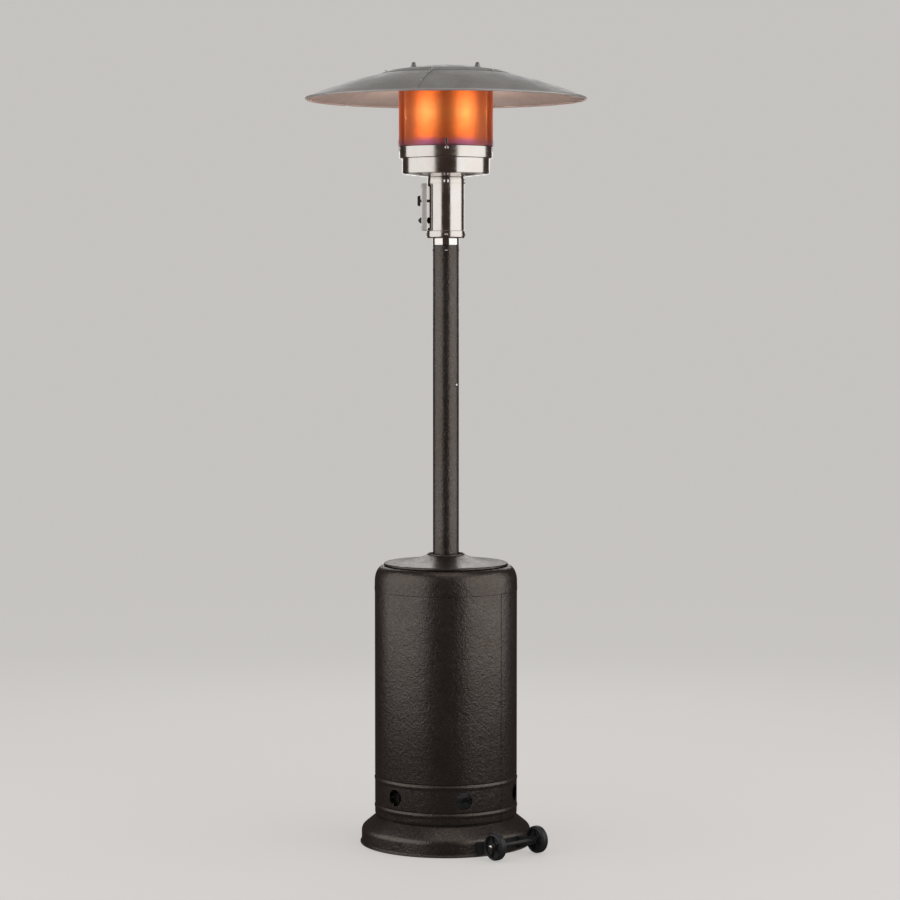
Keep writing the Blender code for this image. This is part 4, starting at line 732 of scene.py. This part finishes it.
def build_panel():
    low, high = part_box("control_panel")
    cover = rounded_box("panel_cover", low, high, "satin_steel", edge=0.0022,
                        slot="polished_steel", nodes=("control_panel",))
    inner_low = low + Vector((0.0012, 0.0012, 0.0012))
    inner_high = high + Vector((0.01, -0.0012, -0.0012))
    stem = (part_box("valve_stem")[0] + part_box("valve_stem")[1]) / 2
    button = (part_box("igniter_button")[0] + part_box("igniter_button")[1]) / 2
    hollow = rounded_box("hollow_cutter", inner_low, inner_high, "polished_steel", edge=0.001)
    across = Vector((0.02, 0, 0))
    cutters = [hollow]
    for at, hole in ((stem, 0.006), (button, 0.0098)):
        face = Vector((low.x, at.y, at.z))
        cutters.append(rod_cutter(face - across, face + across * 0.5, hole))
    cut_with(cover, cutters)
    for index, (y, z) in enumerate(((-0.031, high.z - 0.007), (0.031, high.z - 0.007),
                                    (-0.031, low.z + 0.007), (0.031, low.z + 0.007))):
        screw_head("panel_screw_%d" % (index + 1), (low.x, y, z), (-1, 0, 0), 0.0035)
    # A round dial plate behind the knob, marked with plain ticks.
    lathe("knob_dial", [(0.007, 0.0003), (0.0215, 0.0003, 0.0001), (0.0215, 0.0), (0.007, 0.0)],
          "black_steel", segments=64, matrix=aimed((low.x, stem.y, stem.z), (-1, 0, 0)))
    build = bmesh.new()
    for index in range(9):
        tick = bmesh.ops.create_cube(build, size=1.0)["verts"]
        length = 0.0028 if index % 4 == 0 else 0.0018
        bmesh.ops.scale(build, vec=(0.0007, length, 0.0002), verts=tick)
        bmesh.ops.translate(build, vec=(0.0, 0.0188, 0.0003), verts=tick)
        bmesh.ops.rotate(build, cent=(0, 0, 0), verts=tick,
                         matrix=Matrix.Rotation(radians(115 - 28.75 * index), 3, "Z"))
    put("dial_ticks", new_mesh("dial_ticks", build), "ceramic",
        matrix=aimed((low.x, stem.y, stem.z), (-1, 0, 0)))

    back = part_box("control_knob")[1].x
    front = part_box("control_knob")[0].x
    length = back - front
    radius = 0.015

    def knurl(azimuth, height):
        return 0.0004 * cos(radians(azimuth * 24)) if 0.001 < height < length - 0.0025 else 0.0

    lathe("round_knob", [(0.0, length - 0.0006), (radius - 0.004, length, 0.001),
                         (radius - 0.001, length - 0.001, 0.0015), (radius, 0.001, 0.0006),
                         (radius - 0.0006, 0.0), (0.0043, 0.0), (0.0043, length - 0.0032),
                         (0.0, length - 0.0032)],
          "black_plastic", segments=192, swell=knurl, body="knob", nodes=("control_knob",),
          matrix=aimed((back, stem.y, stem.z), (-1, 0, 0)))
    rounded_box("knob_pointer", (-0.0012, 0.003, length - 0.0012),
                (0.0012, 0.0145, length + 0.0008), "ceramic", edge=0.0004, body="knob",
                matrix=aimed((back, stem.y, stem.z), (-1, 0, 0)))
    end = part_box("igniter_button")
    reach = end[1].x - end[0].x
    lathe("push_button", [(0.0, reach), (0.0042, reach - 0.0016, 0.001),
                          (0.0078, reach - 0.006, 0.002), (0.0092, reach - 0.010, 0.001),
                          (0.0092, reach - 0.016), (0.004, reach - 0.016), (0.004, 0.0),
                          (0.0, 0.0)],
          "black_plastic", segments=48, body="ignition_button", nodes=("igniter_button",),
          matrix=aimed((end[1].x, button.y, button.z), (-1, 0, 0)))


# ==== burner and emitter ====================================================================

def build_burner():
    low, high = low_of("burner_dish"), high_of("burner_dish")
    edge = outer_radius("burner_dish")
    dish = lathe("slotted_dish", [(0.036, low), (0.0528, low, 0.002),
                                  (edge - 0.0005, high - 0.0018)],
                 "polished_steel", thickness=-0.0012, segments=144, nodes=("burner_dish",))
    cutters = []
    for index in range(12):
        for offset, reach in ((-4.5, 0.082), (4.5, 0.082), (0.0, 0.102)):
            azimuth = 30 * index + offset
            foot = around(azimuth, reach, low - 0.01)
            cutters.append(rod_cutter(foot, foot + Vector((0, 0, 0.03)),
                                      0.0042 if offset else 0.0052, 20))
    cut_with(dish, cutters)

    ring = outer_radius("burner_ring_lower")
    low, high = low_of("burner_ring_lower"), high_of("burner_ring_lower")
    lathe("lower_bowl", [(ring, high), (ring, high - 0.002), (ring, low, 0.007),
                         (edge + 0.0004, low)],
          "polished_steel", thickness=0.0014, segments=144, steps=6, nodes=("burner_ring_lower",))
    ring = outer_radius("burner_ring_upper")
    low, high = low_of("burner_ring_upper"), high_of("burner_ring_upper")
    lathe("upper_bowl", [(ring, high), (ring, high - 0.001), (ring, low, 0.0035), (0.115, low)],
          "polished_steel", thickness=0.0014, segments=144, nodes=("burner_ring_upper",))
    for index in range(4):
        azimuth = SCREW_AZIMUTH + 90 * index
        outward = around(azimuth, 1.0)
        screw_head("ring_screw_%d" % (index + 1), around(azimuth, ring, high - 0.009), outward,
                   0.0055, look="chrome")
        clip = aimed(around(azimuth, EMITTER_RADIUS + 0.0004, EMITTER_LOW + 0.012), outward)
        rounded_box("screen_clip_%d" % (index + 1), (-0.003, -0.009, 0.0), (0.003, 0.009, 0.0012),
                    "polished_steel", edge=0.0004, matrix=clip)


def build_screen():
    """Expanded-metal screen: a lattice of diamonds round the emitter, with solid end bands."""
    radius = EMITTER_RADIUS - 0.0004
    band = 0.004
    low, high = EMITTER_LOW + band, EMITTER_HIGH - band
    columns, rows = 78, 60
    cell = (high - low) / (rows + 1)
    open_share = 0.66
    build = bmesh.new()
    lattice = {}

    def point(column, row, centre=None):
        """A lattice point, or the point moved towards a diamond's centre."""
        if centre is None:
            key = (column % (2 * columns), row)
            if key not in lattice:
                angle = 360.0 * column / (2 * columns)
                lattice[key] = build.verts.new(around(angle, radius, low + cell * row))
            return lattice[key]
        middle_column, middle_row = centre
        column = middle_column + (column - middle_column) * open_share
        row = middle_row + (row - middle_row) * open_share
        return build.verts.new(around(360.0 * column / (2 * columns), radius, low + cell * row))

    for row in range(rows):
        for index in range(columns):
            centre = (2 * index + row % 2, row + 1)
            corners = [(centre[0] - 1, centre[1]), (centre[0], centre[1] - 1),
                       (centre[0] + 1, centre[1]), (centre[0], centre[1] + 1)]
            outside = [point(*corner) for corner in corners]
            inside = [point(*corner, centre) for corner in corners]
            for side in range(4):
                other = (side + 1) % 4
                build.faces.new([outside[side], outside[other], inside[other], inside[side]])
    # Half diamonds and solid bands close the two ends.
    for row, step, end in ((0, 1, EMITTER_LOW), (rows + 1, -1, EMITTER_HIGH)):
        parity = 0 if row == 0 else (rows - 1) % 2
        edge = {}
        for column in range(2 * columns):
            angle = 360.0 * column / (2 * columns)
            edge[column] = build.verts.new(around(angle, radius, end))
        for index in range(columns):
            middle = 2 * index + parity
            tip = lattice[(middle % (2 * columns), row)]
            left = lattice[((middle - 1) % (2 * columns), row + step)]
            right = lattice[((middle + 1) % (2 * columns), row + step)]
            a, b, c = ((middle - 1) % (2 * columns), middle % (2 * columns),
                       (middle + 1) % (2 * columns))
            one, two = [edge[a], edge[b], tip, left], [edge[b], edge[c], right, tip]
            build.faces.new(one)
            build.faces.new(two)
    bmesh.ops.recalc_face_normals(build, faces=build.faces)
    screen = put("mesh_screen", new_mesh("mesh_screen", build, 60), "glowing_screen",
                 nodes=("emitter_screen",))
    thick = screen.modifiers.new("strand", "SOLIDIFY")
    thick.thickness = 0.0010
    thick.offset = -1.0

    inner = EMITTER_RADIUS - 0.017
    lathe("flame_core", [(0.0, EMITTER_HIGH - 0.016), (inner, EMITTER_HIGH - 0.016, 0.004),
                         (inner, EMITTER_LOW + 0.006, 0.004), (0.0, EMITTER_LOW + 0.006)],
          "flame_glow", segments=96, slot="glowing_screen")
    top = high_of("emitter_top_plate")
    low = low_of("emitter_top_plate")
    lathe("heat_plate", [(EMITTER_RADIUS - 0.0018, top), (EMITTER_RADIUS - 0.0018, low, 0.003),
                         (0.0, low)],
          "polished_steel", thickness=0.0012, segments=96, nodes=("emitter_top_plate",))


# ==== reflector ================================================================================

def reflector_height(radius):
    return RIM_HEIGHT + REFLECTOR_RISE * (1 - (radius / RIM_RADIUS) ** 1.8)


def build_reflector():
    inner = 0.146
    steps = 26
    path = []
    for step in range(steps + 1):
        radius = inner + (RIM_RADIUS - 0.004 - inner) * step / steps
        path.append((radius, reflector_height(radius)))
    lip = reflector_height(RIM_RADIUS)
    path += [(RIM_RADIUS - 0.0012, lip + 0.0006, 0.0012), (RIM_RADIUS, lip - 0.0020, 0.0012),
             (RIM_RADIUS - 0.0006, lip - 0.0050, 0.0012),
             (RIM_RADIUS - 0.0030, lip - 0.0058, 0.001), (RIM_RADIUS - 0.0052, lip - 0.0040)]
    outline = sheet_profile(rounded(path), 0.0009)
    lap = 1.5
    sweep = 360 / LEAF_COUNT
    for index in range(LEAF_COUNT):
        start = LEAF_FIRST + sweep * index
        build = bmesh.new()
        angles = even_angles(60, start + 0.08, sweep - 0.1) + [start + sweep + lap * 0.5,
                                                               start + sweep + lap]
        lathe_into(build, [(p.x, p.y) for p in outline], angles, full=False)
        for vert in build.verts:
            azimuth = (degrees(atan2(vert.co.x, -vert.co.y)) - start) % 360.0
            past = azimuth - (sweep - 1.0)
            if 0.0 < past < 6.0:
                share = min(1.0, past / 0.9)
                vert.co.z += 0.0016 * share
        name = "reflector_leaf_%d" % (index + 1)
        put(name, new_mesh(name, build), "satin_aluminium",
            nodes=("reflector_panel_%d" % (index + 1),))
        for reach in (0.235, 0.330):
            azimuth = start + sweep + lap / 2 - 0.05
            seat = around(azimuth, reach, reflector_height(reach) + 0.0018)
            screw_head("seam_screw_%d_%d" % (index + 1, round(reach * 1000)), seat,
                       around(azimuth, 0.28, 1.0), 0.0042, look="chrome")

    lift = CAP_LIFT
    crown = CAP_EDGE - 0.020
    cap = [(0.0, reflector_height(0.0) + lift + CAP_CROWN)]
    for step in range(1, 12):
        radius = crown * step / 11
        cap.append((radius, reflector_height(radius) + lift + CAP_CROWN))
    for inward, above, bend in ((0.0175, 0.0006, 0.001), (0.014, -0.0002, 0.001),
                                (0.0005, -0.0002, 0.0006)):
        radius = CAP_EDGE - inward
        cap.append((radius, reflector_height(radius) + lift + above, bend))
    cap.append((CAP_EDGE, reflector_height(CAP_EDGE) + 0.0008))
    lathe("reflector_crown", cap, "satin_aluminium", thickness=0.0009, segments=144,
          nodes=("reflector_cap",))
    for index in range(6):
        azimuth = LEAF_FIRST + 60 * index
        reach = CAP_EDGE - 0.0075
        seat = around(azimuth, reach, reflector_height(reach) + lift)
        screw_head("cap_screw_%d" % (index + 1), seat, around(azimuth, 0.2, 1.0), 0.0045,
                   look="chrome", rise=0.9)
    for index in (1, 2, 3):
        low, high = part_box("cap_nut_%d" % index)
        centre = (low + high) / 2
        lathe("acorn_nut_%d" % index,
              [(0.0, 0.0115), (0.0028, 0.0112, 0.001), (0.0052, 0.0088, 0.001), (0.0056, 0.0055),
               (0.0066, 0.0048, 0.0003), (0.0066, 0.0, 0.0003), (0.0031, 0.0), (0.0031, 0.0085),
               (0.0, 0.0085)],
              "cast_zinc", slot="chrome", segments=36, nodes=("cap_nut_%d" % index,),
              matrix=Matrix.Translation((centre.x, centre.y, low.z)))
        lathe("nut_washer_%d" % index,
              [(0.0095, 0.0), (0.0095, -0.0009), (0.0034, -0.0009), (0.0034, 0.0)],
              "cast_zinc", slot="chrome", segments=36,
              matrix=Matrix.Translation((centre.x, centre.y, low.z)))


# ==== CAD nodes that keep their shape ========================================================

def dress_cad_nodes():
    """Every CAD node still shown gets the procedural material of its slot."""
    slots = {entry["node"]: entry["material_slot"] for entry in frame["record"]["subparts"]}
    for node, piece in frame["nodes"].items():
        piece.data.materials.clear()
        piece.data.materials.append(LOOKS[slots[node]])


# ==== stage ====================================================================================

FLOOR_TONE = (0.66, 0.64, 0.62)
AMBIENT = 0.85                  # strength of the soft light from all round
FLOOR_GLOW = 0.72               # share of the floor's tone that is its own light
CAMERA_LENS = 110.4             # millimetres
CAMERA_PLACE = (0.0119, -7.991, 1.634)
CAMERA_LOOKS_DOWN = 3.5         # degrees


def area_light(name, azimuth, distance, height, width, tall, power, aim=1.1, colour=(1, 1, 1)):
    """A softbox that faces the heater and isn't seen itself."""
    lamp = bpy.data.lights.new(name, "AREA")
    lamp.shape = "RECTANGLE"
    lamp.size, lamp.size_y = width, tall
    lamp.energy = power
    lamp.color = colour
    light = bpy.data.objects.new(name, lamp)
    bpy.context.scene.collection.objects.link(light)
    place = around(azimuth, distance, height)
    target = Vector((0.0, 0.0, aim))
    light.matrix_world = Matrix.Translation(place) @ (place - target).to_track_quat(
        "Z", "Y").to_matrix().to_4x4()
    light.visible_camera = False
    return light


def warm_light(name, place):
    """A small warm light just off the screen: the heat's glow on the reflector's underside."""
    glow = bpy.data.lights.new(name, "POINT")
    glow.energy = 2.4
    glow.shadow_soft_size = 0.02
    glow.color = (1.0, 0.66, 0.54)
    light = bpy.data.objects.new(name, glow)
    light.location = place
    light.visible_camera = light.visible_glossy = False
    bpy.context.scene.collection.objects.link(light)


def build_stage():
    build = bmesh.new()
    bmesh.ops.create_circle(build, cap_ends=True, segments=96, radius=300.0)
    mesh = new_mesh("studio_floor", build)
    floor = bpy.data.objects.new("studio_floor", mesh)
    bpy.context.scene.collection.objects.link(floor)
    # Most of the tone is the floor's own light, which keeps it even from side to side.
    lit_share = tuple(tone * (1 - FLOOR_GLOW) for tone in FLOOR_TONE)
    look = Look("pale_floor", lit_share, 0.8)
    look.set("Specular IOR Level", 0.0)
    look.set("Emission Color", (*FLOOR_TONE, 1.0))
    look.set("Emission Strength", AMBIENT * FLOOR_GLOW)
    look.feed("Roughness", look.between(look.noise(3.0, 3.0), 0.75, 0.85))
    mesh.materials.append(look.material)
    floor.location.z = -0.0005
    floor.visible_glossy = False

    area_light("softbox_left", -71, 2.4, 1.66, 4.4, 3.1, 47, aim=1.5)
    area_light("softbox_right", 71, 2.4, 1.66, 4.4, 3.1, 53, aim=1.5)
    area_light("softbox_back", 180, 3.0, 2.4, 2.4, 2.0, 25)
    area_light("softbox_top", 20, 0.9, 4.3, 2.6, 2.6, 16, aim=2.2)
    for index, azimuth in enumerate(even_angles(6, 30.0)):
        warm_light("emitter_glow_%d" % (index + 1),
                   around(azimuth, EMITTER_RADIUS + 0.022, EMITTER_HIGH - 0.10))
    build_world()


def build_world():
    """Pale to the eye and for soft light, dark brown in reflections."""
    world = bpy.data.worlds.new("studio")
    bpy.context.scene.world = world
    world.use_nodes = True
    tree = world.node_tree
    tree.nodes.clear()

    def node(kind, colour=None, strength=1.0):
        made = tree.nodes.new(kind)
        if colour:
            made.inputs["Color"].default_value = (*colour, 1.0)
            made.inputs["Strength"].default_value = strength
        return made

    soft = node("ShaderNodeBackground", (1.0, 1.0, 1.0), AMBIENT)
    seen = node("ShaderNodeBackground", FLOOR_TONE, AMBIENT)
    dark = node("ShaderNodeBackground", (0.55, 0.36, 0.28), 0.08)
    path, first, second = (node(kind) for kind in (
        "ShaderNodeLightPath", "ShaderNodeMixShader", "ShaderNodeMixShader"))
    output = node("ShaderNodeOutputWorld")
    for start, end in (
            (path.outputs["Is Camera Ray"], first.inputs[0]), (soft.outputs[0], first.inputs[1]),
            (seen.outputs[0], first.inputs[2]), (path.outputs["Is Glossy Ray"], second.inputs[0]),
            (first.outputs[0], second.inputs[1]), (dark.outputs[0], second.inputs[2]),
            (second.outputs[0], output.inputs[0])):
        tree.links.new(start, end)


def build_camera():
    data = bpy.data.cameras.new("camera")
    camera = bpy.data.objects.new("camera", data)
    bpy.context.scene.collection.objects.link(camera)
    bpy.context.scene.camera = camera
    data.sensor_width = 36.0
    data.lens = CAMERA_LENS
    camera.location = CAMERA_PLACE
    camera.rotation_euler = (radians(90 - CAMERA_LOOKS_DOWN), 0.0, 0.0)


bpy.context.scene.view_settings.view_transform = "Standard"
build_camera()
build_stage()
dress_cad_nodes()
build_base()
build_wheels()
build_housing()
build_lid()
build_post()
build_head()
build_panel()
build_burner()
build_screen()
build_reflector()
